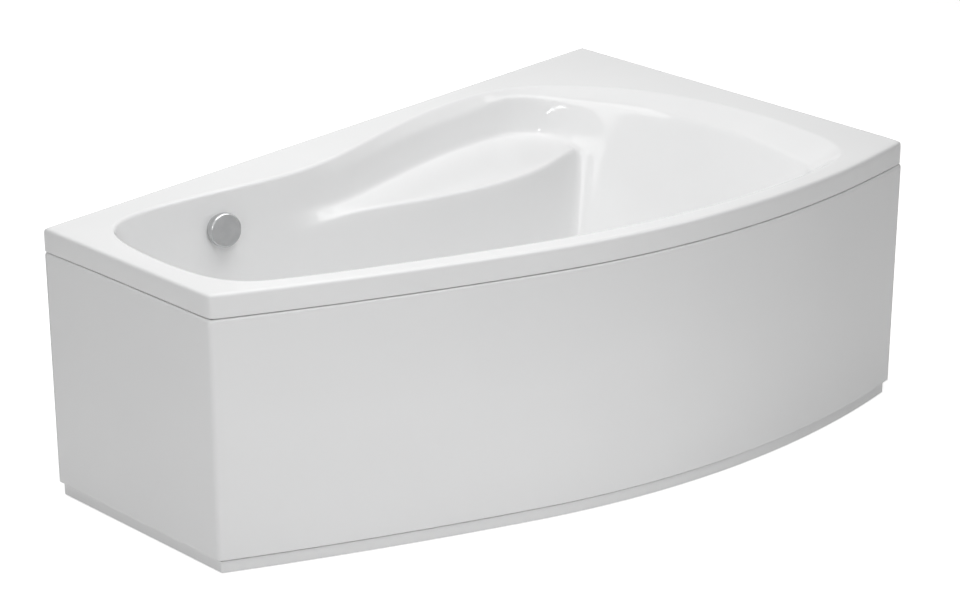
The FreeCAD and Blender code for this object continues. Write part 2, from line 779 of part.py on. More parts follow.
gasket_face = -sheet - overflow_seat_gap
flange_face = gasket_face - overflow_gasket_thickness
cup_face = flange_face - overflow_flange_thickness
cup_back = cup_face - overflow_cup_depth
rosette_face = overflow_seat_gap + rosette_thickness
knob_face = knob_standoff + knob_depth
throat_bore = overflow_throat_radius - overflow_wall
bath_shell = bath_shell.cut(overflow_bar(0.0, -2 * rim_edge_lead, 2 * rim_edge_lead, overflow_hole_radius))

parts["overflow_gasket"] = overflow_bar(0.0, flange_face, gasket_face, overflow_flange_radius).cut(
    overflow_bar(0.0, flange_face, gasket_face, overflow_hole_radius))

outlet_top = along_overflow((cup_face + cup_back) / 2)
outlet_end = outlet_top - UP * outlet_drop
conduit_top = outlet_top + overflow_side * conduit_offset
conduit_start = conduit_top - UP * conduit_boss_drop
spider_front = cup_face + spider_thickness
elbow = join([
    overflow_bar(0.0, cup_face, flange_face, overflow_flange_radius),
    overflow_bar(0.0, cup_back, cup_face, overflow_cup_radius),
    overflow_bar(0.0, cup_face, 0.0, overflow_throat_radius),
    rod(outlet_top, outlet_end, outlet_radius),
    rod(conduit_top, conduit_start, conduit_boss_radius)])
elbow = elbow.cut(overflow_bar(0.0, cup_back + overflow_wall, cup_face, overflow_cup_radius - overflow_wall))
elbow = elbow.cut(overflow_bar(0.0, cup_face - cut_overrun, cut_overrun, throat_bore))
elbow = elbow.cut(rod(outlet_top, outlet_end - UP * cut_overrun, pipe_bore))
spider = overflow_plate(spider_width, 2 * throat_bore + overflow_wall, cup_face, spider_front)
spindle_bore = spindle_radius + spindle_clearance
spider = spider.cut(overflow_bar(0.0, cup_face, spider_front, spindle_bore))
rosette = overflow_bar(0.0, overflow_seat_gap, rosette_face, rosette_radius)
rosette = rosette.cut(overflow_bar(0.0, overflow_seat_gap, rosette_face, rosette_opening_radius))
bridge_length = 2 * rosette_opening_radius + overflow_wall
bridge = overflow_plate(spider_width, bridge_length, overflow_seat_gap, rosette_face)
rosette = rosette.fuse(bridge).removeSplitter()
rosette = rosette.cut(overflow_bar(0.0, overflow_seat_gap, rosette_face, spindle_bore))
rosette_screws = []
for side in (-rosette_screw_spacing / 2, rosette_screw_spacing / 2):
    pilot = overflow_bar(side, cup_face, rosette_face, wood_screw_radius + screw_clearance)
    spider = spider.cut(pilot)
    rosette = rosette.cut(pilot)
    head_base = along_overflow(rosette_face) + overflow_side * side
    rosette_screws.append(wood_screw(head_base, -overflow_axis, rosette_face - cup_face))
parts["overflow_elbow"] = join([elbow, spider])
parts["overflow_rosette"] = rosette
parts["overflow_screws"] = Part.Compound(rosette_screws)

drum_back = cup_back + overflow_wall + drum_gap
spindle_end = knob_standoff + knob_hub_bite
parts["knob_spindle"] = overflow_bar(0.0, drum_back, spindle_end, spindle_radius).fuse(
    overflow_bar(0.0, drum_back, drum_back + drum_thickness, drum_radius)).removeSplitter()

rise = overflow_side.cross(overflow_axis)


def turned(points):
    """A body of revolution about the overflow's axis from (radius, distance) points."""
    corners = [along_overflow(depth) + rise * radius for radius, depth in points]
    return Part.Face(Part.makePolygon(corners + corners[:1])).revolve(overflow, overflow_axis, 360)


knob = turned([
    (0.0, knob_standoff), (knob_back_radius, knob_standoff),
    (knob_radius, knob_face - knob_band), (knob_radius, knob_face), (0.0, knob_face)])
face_circle = [e for e in knob.Edges if (e.CenterOfMass - along_overflow(knob_face)).Length < flat_tolerance]
knob = knob.makeFillet(knob_round, face_circle)
hollow_radius = knob_back_radius - knob_wall
hollow_back, hollow_face = knob_standoff - cut_overrun, knob_face - knob_wall
knob = knob.cut(turned([
    (knob_hub_radius, hollow_back), (hollow_radius, hollow_back),
    (hollow_radius, hollow_face), (knob_hub_radius, hollow_face)]))
parts["overflow_knob"] = knob.cut(
    overflow_bar(0.0, hollow_back, spindle_end, spindle_radius + screw_clearance))

# Waste fitting in the floor, over the trap
waste_hole = column(waste, floor_under - cut_overrun, floor_height + cut_overrun, waste_hole_radius)
bath_shell = bath_shell.cut(waste_hole)
flange_under = floor_height + waste_seal_thickness
flange_top = flange_under + waste_flange_thickness
tube_foot = flange_under - waste_tube_length
body_top = floor_under - waste_gasket_thickness
neck_foot = body_top - waste_neck_height
cup_foot = neck_foot - waste_cup_depth
inlet_z = body_top - waste_inlet_drop - waste_neck_height
ring_bore = waste_hole_radius + screw_hole_clearance

parts["waste_seal"] = column(waste, floor_height, flange_under, waste_flange_radius).cut(
    column(waste, floor_height, flange_under, ring_bore))
parts["waste_gasket"] = column(waste, body_top, floor_under, waste_body_flange_radius).cut(
    column(waste, body_top, floor_under, ring_bore))

collar = column(waste, flange_under, flange_top, waste_flange_radius)
collar = collar.makeFillet(waste_flange_thickness / 2, [e for e in collar.Edges if lies_at(e, flange_top)])
collar = join([collar, column(waste, tube_foot, flange_under, waste_tube_radius)])
collar = collar.cut(column(waste, tube_foot, flange_top, waste_bore))
grid_top = tube_foot + waste_neck_height
spokes = []
for turn in range(3):
    way = Vec(math.cos(math.pi * turn / 3), math.sin(math.pi * turn / 3), 0)
    across = way.cross(UP) * (waste_flange_thickness / 2)
    reach = way * (waste_bore + flat_tolerance)
    quad = [waste + reach + across, waste + reach - across, waste - reach - across, waste - reach + across]
    spoke = Part.Face(Part.makePolygon(quad + quad[:1])).extrude(UP * waste_neck_height)
    spoke.translate(UP * tube_foot)
    spokes.append(spoke)
hub = column(waste, tube_foot, grid_top, 2 * plug_stem_radius)
collar = join([collar, hub] + spokes)
parts["waste_flange"] = collar.cut(column(waste, tube_foot, grid_top, plug_stem_radius + spindle_clearance))

inlet_way = outlet_top - waste
inlet_way = Vec(inlet_way.x, inlet_way.y, 0).normalize()
inlet_side = inlet_way.cross(UP)
if inlet_side.dot(overflow_side) < 0:
    inlet_side = -inlet_side
inlet_start = Vec(waste.x, waste.y, inlet_z)
inlet_end = inlet_start + inlet_way * waste_inlet_reach
conduit_seat = inlet_start + inlet_side * conduit_offset
conduit_end = conduit_seat + inlet_way * conduit_boss_reach
drain_foot = cup_foot - waste_outlet_drop
body = join([
    column(waste, neck_foot, body_top, waste_body_flange_radius),
    column(waste, cup_foot, neck_foot, waste_cup_radius),
    column(waste, drain_foot, cup_foot, outlet_radius),
    rod(inlet_start, inlet_end, outlet_radius),
    rod(conduit_seat, conduit_end, conduit_boss_radius)])
body = body.cut(column(waste, cup_foot + overflow_wall, neck_foot, waste_cup_radius - overflow_wall))
body = body.cut(column(waste, neck_foot - cut_overrun, body_top, waste_tube_radius + waste_neck_clearance))
body = body.cut(column(waste, drain_foot - cut_overrun, neck_foot, outlet_radius - trap_wall))
parts["waste_body"] = body.cut(rod(inlet_start, inlet_end + inlet_way * cut_overrun, pipe_bore))

plug_low = flange_top + plug_gap
plug_top = plug_low + plug_edge + plug_dome
dome_radius = (plug_radius ** 2 + plug_dome ** 2) / (2 * plug_dome)
dome = Part.makeSphere(dome_radius, Vec(waste.x, waste.y, plug_top - dome_radius))
parts["waste_plug"] = column(waste, plug_low, plug_top, plug_radius).common(dome)
parts["plug_stem"] = column(waste, plug_low - plug_stem_length, plug_low, plug_stem_radius)
parts["plug_seal"] = column(waste, plug_low - plug_seal_height, plug_low, plug_seal_radius).cut(
    column(waste, plug_low - plug_seal_height, plug_low, plug_seal_bore))


# Pipes: a ring section swept along straight runs joined by tangent arcs
def bent_path(points, radius):
    """Straight runs through the points, with every corner rounded to radius."""
    edges, start = [], points[0]
    for before, corner, after in zip(points, points[1:], points[2:]):
        back, ahead = (before - corner).normalize(), (after - corner).normalize()
        half = back.getAngle(ahead) / 2
        trim = radius / math.tan(half)
        bisector = (back + ahead).normalize()
        middle = corner + bisector * (radius / math.sin(half) - radius)
        run_end = corner + back * trim
        if (run_end - start).Length > flat_tolerance:
            edges.append(Part.makeLine(start, run_end))
        edges.append(Part.Arc(run_end, middle, corner + ahead * trim).toShape())
        start = corner + ahead * trim
    edges.append(Part.makeLine(start, points[-1]))
    return Part.Wire(edges)


def bent_bar(points, bend, radius):
    path = bent_path(points, bend)
    circle = Part.Wire(Part.makeCircle(radius, points[0], points[1] - points[0]))
    return path.makePipeShell([circle], True, False)


def bent_pipe(points, bend, radius, bore):
    return bent_bar(points, bend, radius).cut(bent_bar(points, bend, bore))


def union_nut(joint, way, onward_radius):
    """A nut with flats over a spigot's end at joint, closed round the pipe that goes on along way."""
    back, ahead = joint - way * union_grip, joint + way * union_lip
    side = way.cross(UP) if way.cross(UP).Length > flat_tolerance else Vec(1, 0, 0)
    other = way.cross(side)
    corners = []
    for k in range(union_flats + 1):
        turn = math.tau * k / union_flats
        corners.append(back + (side * math.cos(turn) + other * math.sin(turn)) * union_radius)
    nut = Part.Face(Part.makePolygon(corners)).extrude(ahead - back)
    nut = nut.cut(rod(back, joint, outlet_radius + union_clearance))
    return nut.cut(rod(joint, ahead, onward_radius + union_clearance))


turn_point = Vec(outlet_end.x, outlet_end.y, inlet_z)
parts["overflow_pipe"] = bent_pipe([outlet_end, turn_point, inlet_end], pipe_bend, pipe_radius, pipe_bore)
parts["union_nuts"] = Part.Compound([
    union_nut(outlet_end, -UP, pipe_radius), union_nut(inlet_end, inlet_way, pipe_radius)])

conduit_turn = Vec(conduit_start.x, conduit_start.y, inlet_z)
conduit_route = [conduit_start, conduit_turn, conduit_end]
parts["wire_conduit"] = bent_pipe(conduit_route, conduit_bend, conduit_radius, conduit_bore)

conduit_clips = []
for share in conduit_clip_shares:
    high = outlet_end.z - share * (outlet_end.z - inlet_z - pipe_bend)
    low = high - conduit_clip_height
    pipe_hole = column(outlet_end, low, high, pipe_radius + union_clearance)
    conduit_hole = column(conduit_start, low, high, conduit_radius + union_clearance)
    across = (conduit_start - outlet_end).cross(UP).normalize() * (conduit_radius + conduit_clip_wall)
    quad = [outlet_end + across, outlet_end - across, conduit_start - across, conduit_start + across]
    quad = [Vec(q.x, q.y, low) for q in quad]
    clip = join([
        column(outlet_end, low, high, pipe_radius + conduit_clip_wall),
        column(conduit_start, low, high, conduit_radius + conduit_clip_wall),
        Part.Face(Part.makePolygon(quad + quad[:1])).extrude(UP * conduit_clip_height)])
    conduit_clips.append(clip.cut(pipe_hole).cut(conduit_hole))
parts["conduit_clips"] = Part.Compound(conduit_clips)

trap_bore = outlet_radius - trap_wall
trap_low = drain_foot - trap_drop - trap_bend
trap_in = Vec(waste.x, waste.y, drain_foot)
trap_far = waste + Vec(2 * trap_bend, 0, 0)
drain_z = trap_low + trap_bend + trap_rise + trap_bend
trap_out = Vec(trap_far.x, trap_far.y + trap_bend + trap_lead, drain_z)
trap_route = [
    trap_in, Vec(waste.x, waste.y, trap_low), Vec(trap_far.x, trap_far.y, trap_low),
    Vec(trap_far.x, trap_far.y, drain_z), trap_out]
parts["trap"] = bent_pipe(trap_route, trap_bend, outlet_radius, trap_bore)
drain_end = Vec(trap_out.x, wall_y - drain_wall_gap, drain_z)
drain_way = Vec(0, 1, 0)
bead_end = drain_end - drain_way * drain_spigot_length
bead_start = bead_end - drain_way * drain_bead_width
parts["drain_pipe"] = join([
    rod(trap_out, drain_end, outlet_radius), rod(bead_start, bead_end, drain_bead_radius)]).cut(
    rod(trap_out, drain_end, trap_bore))
parts["trap_nuts"] = Part.Compound([
    union_nut(trap_in, -UP, outlet_radius), union_nut(trap_out, drain_way, outlet_radius)])

parts["bath_shell"] = bath_shell
os.makedirs("parts", exist_ok=True)
for node, shape in parts.items():
    shape.exportStep(f"parts/{node}.step")
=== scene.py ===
import json
import math

import bmesh
import bpy
from mathutils import Matrix, Vector


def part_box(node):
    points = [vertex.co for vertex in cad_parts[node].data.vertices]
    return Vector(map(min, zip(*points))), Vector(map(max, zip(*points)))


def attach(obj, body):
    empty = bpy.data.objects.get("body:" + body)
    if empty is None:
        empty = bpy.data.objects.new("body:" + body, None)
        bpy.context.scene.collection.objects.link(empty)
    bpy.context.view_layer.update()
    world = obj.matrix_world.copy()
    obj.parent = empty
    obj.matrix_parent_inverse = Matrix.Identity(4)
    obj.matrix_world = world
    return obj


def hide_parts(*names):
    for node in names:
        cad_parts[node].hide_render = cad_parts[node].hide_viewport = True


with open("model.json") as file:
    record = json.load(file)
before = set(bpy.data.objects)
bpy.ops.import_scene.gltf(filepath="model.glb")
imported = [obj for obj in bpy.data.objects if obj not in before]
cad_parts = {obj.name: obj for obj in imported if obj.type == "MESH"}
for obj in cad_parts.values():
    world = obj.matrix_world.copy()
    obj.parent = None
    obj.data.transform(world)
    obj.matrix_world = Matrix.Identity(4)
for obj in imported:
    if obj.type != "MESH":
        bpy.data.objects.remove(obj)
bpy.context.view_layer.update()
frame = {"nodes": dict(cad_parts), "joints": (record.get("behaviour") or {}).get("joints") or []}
nodes = frame["nodes"]


# Bath shell
# One sheet of cast acrylic, drawn by vacuum over a mould: the rim turns down into a skirt, and the basin
# has a leaf shaped shelf and a neck rest. Sprayed glass fibre stiffens it from behind.
def new_finish(name, roughness, metallic=0.0, ior=1.5):
    """A material with its tree, its shader and the piece's own coordinates."""
    material = bpy.data.materials.new(name)
    material.use_nodes = True
    tree = material.node_tree
    shader = tree.nodes["Principled BSDF"]
    shader.inputs["Roughness"].default_value = roughness
    shader.inputs["Metallic"].default_value = metallic
    shader.inputs["IOR"].default_value = ior
    place = tree.nodes.new("ShaderNodeTexCoord").outputs["Object"]
    return material, tree, shader, place


def cloudy(tree, place, scale, detail=2.0, stretch=(1.0, 1.0, 1.0), turn=(0.0, 0.0, 0.0)):
    """A soft noise over the piece, stretched and turned where the stuff has a direction."""
    mapping = tree.nodes.new("ShaderNodeMapping")
    mapping.inputs["Scale"].default_value = stretch
    mapping.inputs["Rotation"].default_value = turn
    noise = tree.nodes.new("ShaderNodeTexNoise")
    noise.inputs["Scale"].default_value = scale
    noise.inputs["Detail"].default_value = detail
    tree.links.new(place, mapping.inputs["Vector"])
    tree.links.new(mapping.outputs["Vector"], noise.inputs["Vector"])
    return noise.outputs["Fac"]


def ramp_between(tree, factor, dark, light, low=0.35, high=0.65):
    ramp = tree.nodes.new("ShaderNodeValToRGB")
    ramp.color_ramp.elements[0].position = low
    ramp.color_ramp.elements[0].color = (*dark, 1.0)
    ramp.color_ramp.elements[1].position = high
    ramp.color_ramp.elements[1].color = (*light, 1.0)
    tree.links.new(factor, ramp.inputs["Fac"])
    return ramp.outputs["Color"]


def rough_between(tree, shader, factor, low, high):
    spread = tree.nodes.new("ShaderNodeMapRange")
    spread.inputs["From Min"].default_value = 0.3
    spread.inputs["From Max"].default_value = 0.7
    spread.inputs["To Min"].default_value = low
    spread.inputs["To Max"].default_value = high
    tree.links.new(factor, spread.inputs["Value"])
    tree.links.new(spread.outputs["Result"], shader.inputs["Roughness"])


def raise_grain(tree, shader, factor, strength, height):
    bump = tree.nodes.new("ShaderNodeBump")
    bump.inputs["Strength"].default_value = strength
    bump.inputs["Distance"].default_value = height
    tree.links.new(factor, bump.inputs["Height"])
    tree.links.new(bump.outputs["Normal"], shader.inputs["Normal"])


acrylic, tree, shader, place = new_finish("cast_acrylic", 0.09, ior=1.49)
acrylic_white = ramp_between(tree, cloudy(tree, place, 3.0), (0.884, 0.886, 0.887), (0.902, 0.904, 0.905))
tree.links.new(acrylic_white, shader.inputs["Base Color"])
rough_between(tree, shader, cloudy(tree, place, 35.0, 4.0), 0.04, 0.09)
raise_grain(tree, shader, cloudy(tree, place, 22.0), 0.03, 0.001)

glass_fibre, tree, shader, place = new_finish("sprayed_glass_fibre", 0.5, ior=1.52)
strands = tree.nodes.new("ShaderNodeMath")
strands.operation = "MAXIMUM"
tree.links.new(cloudy(tree, place, 60.0, 3.0, (1.0, 7.0, 1.0), (0.3, 0.2, 0.5)), strands.inputs[0])
tree.links.new(cloudy(tree, place, 60.0, 3.0, (7.0, 1.0, 1.0), (0.1, 0.6, 0.9)), strands.inputs[1])
resin = ramp_between(tree, strands.outputs["Value"], (0.66, 0.65, 0.58), (0.82, 0.81, 0.765), 0.45, 0.7)
tree.links.new(resin, shader.inputs["Base Color"])
rough_between(tree, shader, strands.outputs["Value"], 0.38, 0.6)
raise_grain(tree, shader, strands.outputs["Value"], 0.5, 0.0015)

shell_low, shell_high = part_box("bath_shell")
foot_x, head_x, wall_y, front_y, rim_z = shell_low.x, shell_high.x, shell_high.y, shell_low.y, shell_high.z
bath_length, bath_depth, foot_end_width, floor_z = head_x - foot_x, wall_y - front_y, 0.5, 0.19
belly_station = 0.8375 * bath_length
front_step = bath_depth - foot_end_width
belly_radius = 0.8333 * (belly_station ** 2 + front_step ** 2) / (2 * front_step)
run_radius = 3.784 * belly_radius
belly_centre = Vector((foot_x + belly_station, front_y + belly_radius, 0.0))
narrow_corner = Vector((foot_x, wall_y - foot_end_width, 0.0))
way = belly_centre - narrow_corner
along = (run_radius ** 2 - (run_radius - belly_radius) ** 2 + way.length ** 2) / (2 * way.length)
aside = math.sqrt(run_radius ** 2 - along ** 2)
across = Vector((-way.y, way.x, 0.0)).normalized()
run_centre = narrow_corner + way.normalized() * along + across * aside
belly_start = belly_centre.x + (belly_centre - run_centre).normalized().x * belly_radius


def front_ring(x):
    return (belly_centre, belly_radius) if x >= belly_start else (run_centre, run_radius)


def front_at(x, offset=0.0):
    """The front outline's point at x, with the outline moved inwards by offset."""
    centre, radius = front_ring(x)
    return Vector((x, centre.y - math.sqrt((radius - offset) ** 2 - (x - centre.x) ** 2), 0.0))


def in_plan(x_share, depth_share):
    """A plan point: share of the length from the foot end, share of the local depth from the wall."""
    x = foot_x + x_share * bath_length
    return Vector((x, wall_y - depth_share * (wall_y - front_at(x).y), 0.0))


# Stations round the basin, as shares of the length and of the local depth: rim edge, then floor corner
wall_run = [
    (0.0575, 0.174, 0.105, 0.268), (0.097, 0.117, 0.128, 0.230), (0.1625, 0.119, 0.178, 0.225),
    (0.228, 0.135, 0.2375, 0.233), (0.294, 0.157, 0.299, 0.247), (0.356, 0.1675, 0.3575, 0.263)]
shelf_wall = [
    (0.419, 0.154, 0.4175, 0.2865), (0.481, 0.1235, 0.478, 0.319), (0.544, 0.0945, 0.5375, 0.345),
    (0.606, 0.071, 0.594, 0.3645), (0.669, 0.060, 0.644, 0.3745), (0.728, 0.0615, 0.678, 0.378),
    (0.781, 0.078, 0.699, 0.3815), (0.826, 0.124, 0.714, 0.396)]
head_end = [
    (0.865, 0.200, 0.728, 0.4215), (0.896, 0.2765, 0.742, 0.456), (0.919, 0.3595, 0.754, 0.497),
    (0.935, 0.450, 0.762, 0.543), (0.9445, 0.5435, 0.766, 0.592), (0.9475, 0.637, 0.767, 0.642),
    (0.945, 0.730, 0.7625, 0.693), (0.939, 0.8165, 0.753, 0.744), (0.9275, 0.8915, 0.739, 0.792),
    (0.900, 0.945, 0.714, 0.836)]
front_run = [
    (0.850, 0.681), (0.790, 0.641), (0.719, 0.591), (0.631, 0.531), (0.5375, 0.459),
    (0.444, 0.381), (0.350, 0.304), (0.256, 0.230), (0.169, 0.164), (0.100, 0.119)]
foot_end = [
    (0.060, 0.896, 0.097, 0.741), (0.039, 0.809, 0.0875, 0.669), (0.0325, 0.643, 0.084, 0.5555),
    (0.034, 0.4625, 0.0845, 0.429), (0.040, 0.303, 0.0905, 0.332)]
shelf_edge = [
    (0.4175, 0.226), (0.480, 0.269), (0.541, 0.2985), (0.601, 0.320), (0.6625, 0.331),
    (0.722, 0.319), (0.766, 0.299), (0.803, 0.279)]
neck_width = [0.22, 0.55, 0.74, 0.80, 0.84, 0.90, 1.0, 1.08, 1.2, 1.36, 1.4, 1.15, 0.55, 0.15]
neck_drop = [0.4, 0.6, 0.8, 0.9, 1.0, 1.0, 1.0, 1.0, 1.0, 1.0, 1.0, 1.0, 1.0, 1.0]
front_rim_width, front_wall_run, neck_rest_width, neck_rest_drop = 0.044, 0.065, 0.062, 0.028
shelf_depth, shelf_wall_foot, floor_inset, rim_lead = 0.1, 0.013, 0.125, 0.026
edge_trims = (0.010, 0.014, 0.018, 0.013, 0.1)
basin_depth = rim_z - floor_z
neck_start = len(wall_run) + 6
spine_start, spine_end = in_plan(0.20, 0.53), in_plan(0.62, 0.62)

rim_edge, floor_corner = [], []
for x, depth, floor_x, floor_depth in wall_run + shelf_wall + head_end:
    rim_edge.append(in_plan(x, depth))
    floor_corner.append(in_plan(floor_x, floor_depth))
for x, floor_x in front_run:
    rim_edge.append(front_at(foot_x + x * bath_length, front_rim_width))
    floor_corner.append(front_at(foot_x + floor_x * bath_length, front_rim_width + front_wall_run))
for x, depth, floor_x, floor_depth in foot_end:
    rim_edge.append(in_plan(x, depth))
    floor_corner.append(in_plan(floor_x, floor_depth))
count = len(rim_edge)


def partway(start, end, reach):
    gap = end - start
    return start + gap * min(reach / gap.length, 0.48)


def down_to(plan_point, depth):
    return Vector((plan_point.x, plan_point.y, rim_z - depth))


basin_lines = []
for i in range(count):
    inward = (rim_edge[(i + 1) % count] - rim_edge[i - 1]).cross(Vector((0, 0, 1))).normalized()
    rim, base = down_to(rim_edge[i], 0.0), down_to(floor_corner[i], basin_depth)
    neck, shelf = i - neck_start, i - len(wall_run)
    knee = rim.lerp(base, neck_rest_drop / basin_depth)
    if 0 <= neck < len(neck_width):
        ledge = rim_edge[i] + inward * neck_width[neck] * neck_rest_width
        knee = down_to(ledge, neck_drop[neck] * neck_rest_drop)
    if 0 <= shelf < len(shelf_edge):
        lip = down_to(in_plan(*shelf_edge[shelf]), shelf_depth)
        below = Vector((knee.x, knee.y, lip.z))
        cove = below + (lip - below).normalized() * shelf_wall_foot
    else:
        drop = rim_z - knee.z
        cove, lip = (knee.lerp(base, (s * shelf_depth - drop) / (basin_depth - drop)) for s in (0.8, 1.25))
    spine = spine_end - spine_start
    share = (floor_corner[i] - spine_start).dot(spine) / spine.dot(spine)
    middle = down_to(spine_start + spine * min(max(share, 0.0), 1.0), basin_depth)
    flat = base + (middle - base).normalized() * floor_inset
    corners = [rim - inward * rim_lead, rim, knee, cove, lip, base, flat]
    line = [corners[0]]
    for before, corner, after, trim in zip(corners, corners[1:], corners[2:], edge_trims):
        line += [partway(corner, before, trim), corner, partway(corner, after, trim)]
    basin_lines.append(line + [flat])

# Where each station meets the rim's outline, and its way inwards; four stations stand on the corners
foot_wall, head_wall, head_front, foot_front = 0, 14, 22, 34
wall_in, head_in, foot_in = Vector((0, -1, 0)), Vector((-1, 0, 0)), Vector((1, 0, 0))


def front_in(point):
    return (front_ring(point.x)[0] - point).normalized()


def mitred(point, one, two):
    return point, (one + two) / (1.0 + one.dot(two))


outline = []
for i, edge in enumerate(rim_edge):
    if i == foot_wall:
        outline.append(mitred(Vector((foot_x, wall_y, 0.0)), foot_in, wall_in))
    elif i < head_wall:
        outline.append((Vector((edge.x, wall_y, 0.0)), wall_in))
    elif i == head_wall:
        outline.append(mitred(Vector((head_x, wall_y, 0.0)), head_in, wall_in))
    elif i < head_front:
        outline.append((Vector((head_x, edge.y, 0.0)), head_in))
    elif i == head_front:
        outline.append(mitred(front_at(head_x), head_in, front_in(front_at(head_x))))
    elif i < foot_front:
        point = front_at(edge.x)
        step = (rim_edge[i + 1] - rim_edge[i - 1]).length / 2
        bow = step ** 2 / (6 * front_ring(edge.x)[1])
        outline.append((point - front_in(point) * bow, front_in(point)))
    elif i == foot_front:
        outline.append(mitred(narrow_corner.copy(), foot_in, front_in(narrow_corner)))
    else:
        outline.append((Vector((foot_x, edge.y, 0.0)), foot_in))

# The skirt leans in a little over the panel, and stands upright against the walls
skirt_foot, skirt_draft, rim_turn = rim_z - 0.05, 0.0035, 0.014
wall_corner_soft, panel_corner_soft = 0.003, 0.01
skirt_row = []
for i, (point, inward) in enumerate(outline):
    lean = skirt_draft if i > head_front else 0.0
    skirt_row.append(point + inward * lean + Vector((0, 0, skirt_foot)))
shell_rows = [skirt_row]
for inset, z in ((0.0, rim_z - rim_turn), (0.0, rim_z), (rim_turn, rim_z)):
    shell_rows.append([point + inward * inset + Vector((0, 0, z)) for point, inward in outline])
rim_rows = len(shell_rows)
shell_rows += [[line[row] for line in basin_lines] for row in range(len(basin_lines[0]))]

bm = bmesh.new()
ring = [bm.verts.new(point) for point in shell_rows[0]]
edges = [bm.edges.new((ring[i], ring[(i + 1) % count])) for i in range(count)]
wall_corner_edges, panel_corner_edges = [], []
for number, row in enumerate(shell_rows[1:], 1):
    pulled = bmesh.ops.extrude_edge_only(bm, edges=edges)["geom"]
    fresh = {v for v in pulled if isinstance(v, bmesh.types.BMVert)}
    next_ring = []
    for i, (vert, point) in enumerate(zip(ring, row)):
        link = next(e for e in vert.link_edges if e.other_vert(vert) in fresh)
        link.other_vert(vert).co = point
        next_ring.append(link.other_vert(vert))
        if number < rim_rows and i in (foot_wall, head_wall):
            wall_corner_edges.append(link)
        if number < rim_rows and i in (head_front, foot_front):
            panel_corner_edges.append(link)
    ring = next_ring
    edges = [bm.edges.get((ring[i], ring[(i + 1) % count])) for i in range(count)]
bmesh.ops.contextual_create(bm, geom=edges)
for corner_edges, soft in ((wall_corner_edges, wall_corner_soft), (panel_corner_edges, panel_corner_soft)):
    bmesh.ops.bevel(
        bm, geom=corner_edges, offset=soft, offset_type="OFFSET", segments=2, profile=0.5, affect="EDGES",
        material=-1)
bmesh.ops.recalc_face_normals(bm, faces=bm.faces)
if sum(f.normal.z for f in bm.faces) < 0:
    bmesh.ops.reverse_faces(bm, faces=bm.faces)


def piece_from(name, bm, *materials):
    """A finished piece at the origin, smooth but for its sharp edges, from a bmesh."""
    mesh = bpy.data.meshes.new(name)
    bm.to_mesh(mesh)
    bm.free()
    for material in materials:
        mesh.materials.append(material)
    piece = bpy.data.objects.new(name, mesh)
    bpy.context.scene.collection.objects.link(piece)
    mesh.shade_smooth()
    return piece


shell_cage = piece_from("shell_cage", bm, acrylic, glass_fibre)
rounding = shell_cage.modifiers.new("smooth", "SUBSURF")
rounding.levels = rounding.render_levels = 2
sheet = shell_cage.modifiers.new("sheet", "SOLIDIFY")
sheet_thickness, hole_radius, drill_length = 0.006, 0.026, 0.06
sheet.thickness, sheet.offset, sheet.use_even_offset = sheet_thickness, -1.0, True
sheet.material_offset = 1

overflow_joint = next(j for j in frame["joints"] if j["name"] == "knob_turn")
overflow_at, overflow_way = Vector(overflow_joint["pos_m"]), Vector(overflow_joint["axis"]).normalized()
overflow_frame = Matrix.Translation(overflow_at) @ overflow_way.to_track_quat("Z", "Y").to_matrix().to_4x4()
plug_low, plug_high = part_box("waste_plug")
waste_at = Vector(((plug_low.x + plug_high.x) / 2, (plug_low.y + plug_high.y) / 2, 0.0))
waste_frame = Matrix.Translation(waste_at + Vector((0, 0, floor_z)))
drills = []
for name, spot in (("waste", waste_frame), ("overflow", overflow_frame)):
    bm = bmesh.new()
    bmesh.ops.create_cone(
        bm, cap_ends=True, segments=64, radius1=hole_radius, radius2=hole_radius, depth=drill_length,
        matrix=spot)
    drill = piece_from("drill_" + name, bm, acrylic)
    cut = shell_cage.modifiers.new(name, "BOOLEAN")
    cut.object, cut.solver = drill, "EXACT"
    drills.append(drill)
shell_mesh = bpy.data.meshes.new_from_object(shell_cage.evaluated_get(bpy.context.evaluated_depsgraph_get()))
for spare in drills + [shell_cage]:
    bpy.data.objects.remove(spare)
shell_mesh.set_sharp_from_angle(angle=math.radians(40))
bath_shell = bpy.data.objects.new("shell", shell_mesh)
bpy.context.scene.collection.objects.link(bath_shell)
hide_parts("bath_shell")
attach(bath_shell, "bath")


# Base board and rim blocks
# Chipboard glued under the floor, and sawn softwood blocks glued under the rim. They give the screws
# of the rails, clips and brackets something to bite into.
def coat(material, *names):
    """Gives carried-over CAD nodes their finish."""
    for name in names:
        mesh = nodes[name].data
        mesh.materials.clear()
        mesh.materials.append(material)


chipboard, tree, shader, place = new_finish("chipboard", 0.75)
flakes = tree.nodes.new("ShaderNodeTexVoronoi")
flakes.inputs["Scale"].default_value = 140.0
tree.links.new(place, flakes.inputs["Vector"])
chips = ramp_between(tree, flakes.outputs["Color"], (0.34, 0.23, 0.12), (0.62, 0.47, 0.29), 0.1, 0.9)
tree.links.new(chips, shader.inputs["Base Color"])
raise_grain(tree, shader, flakes.outputs["Distance"], 0.3, 0.0008)
coat(chipboard, "base_board")

softwood, tree, shader, place = new_finish("sawn_softwood", 0.65)
grain = cloudy(tree, place, 70.0, 6.0, (0.12, 0.12, 1.6))
rings = ramp_between(tree, grain, (0.42, 0.27, 0.14), (0.72, 0.54, 0.34), 0.3, 0.7)
tree.links.new(rings, shader.inputs["Base Color"])
raise_grain(tree, shader, grain, 0.3, 0.0006)
coat(softwood, "rim_blocks")


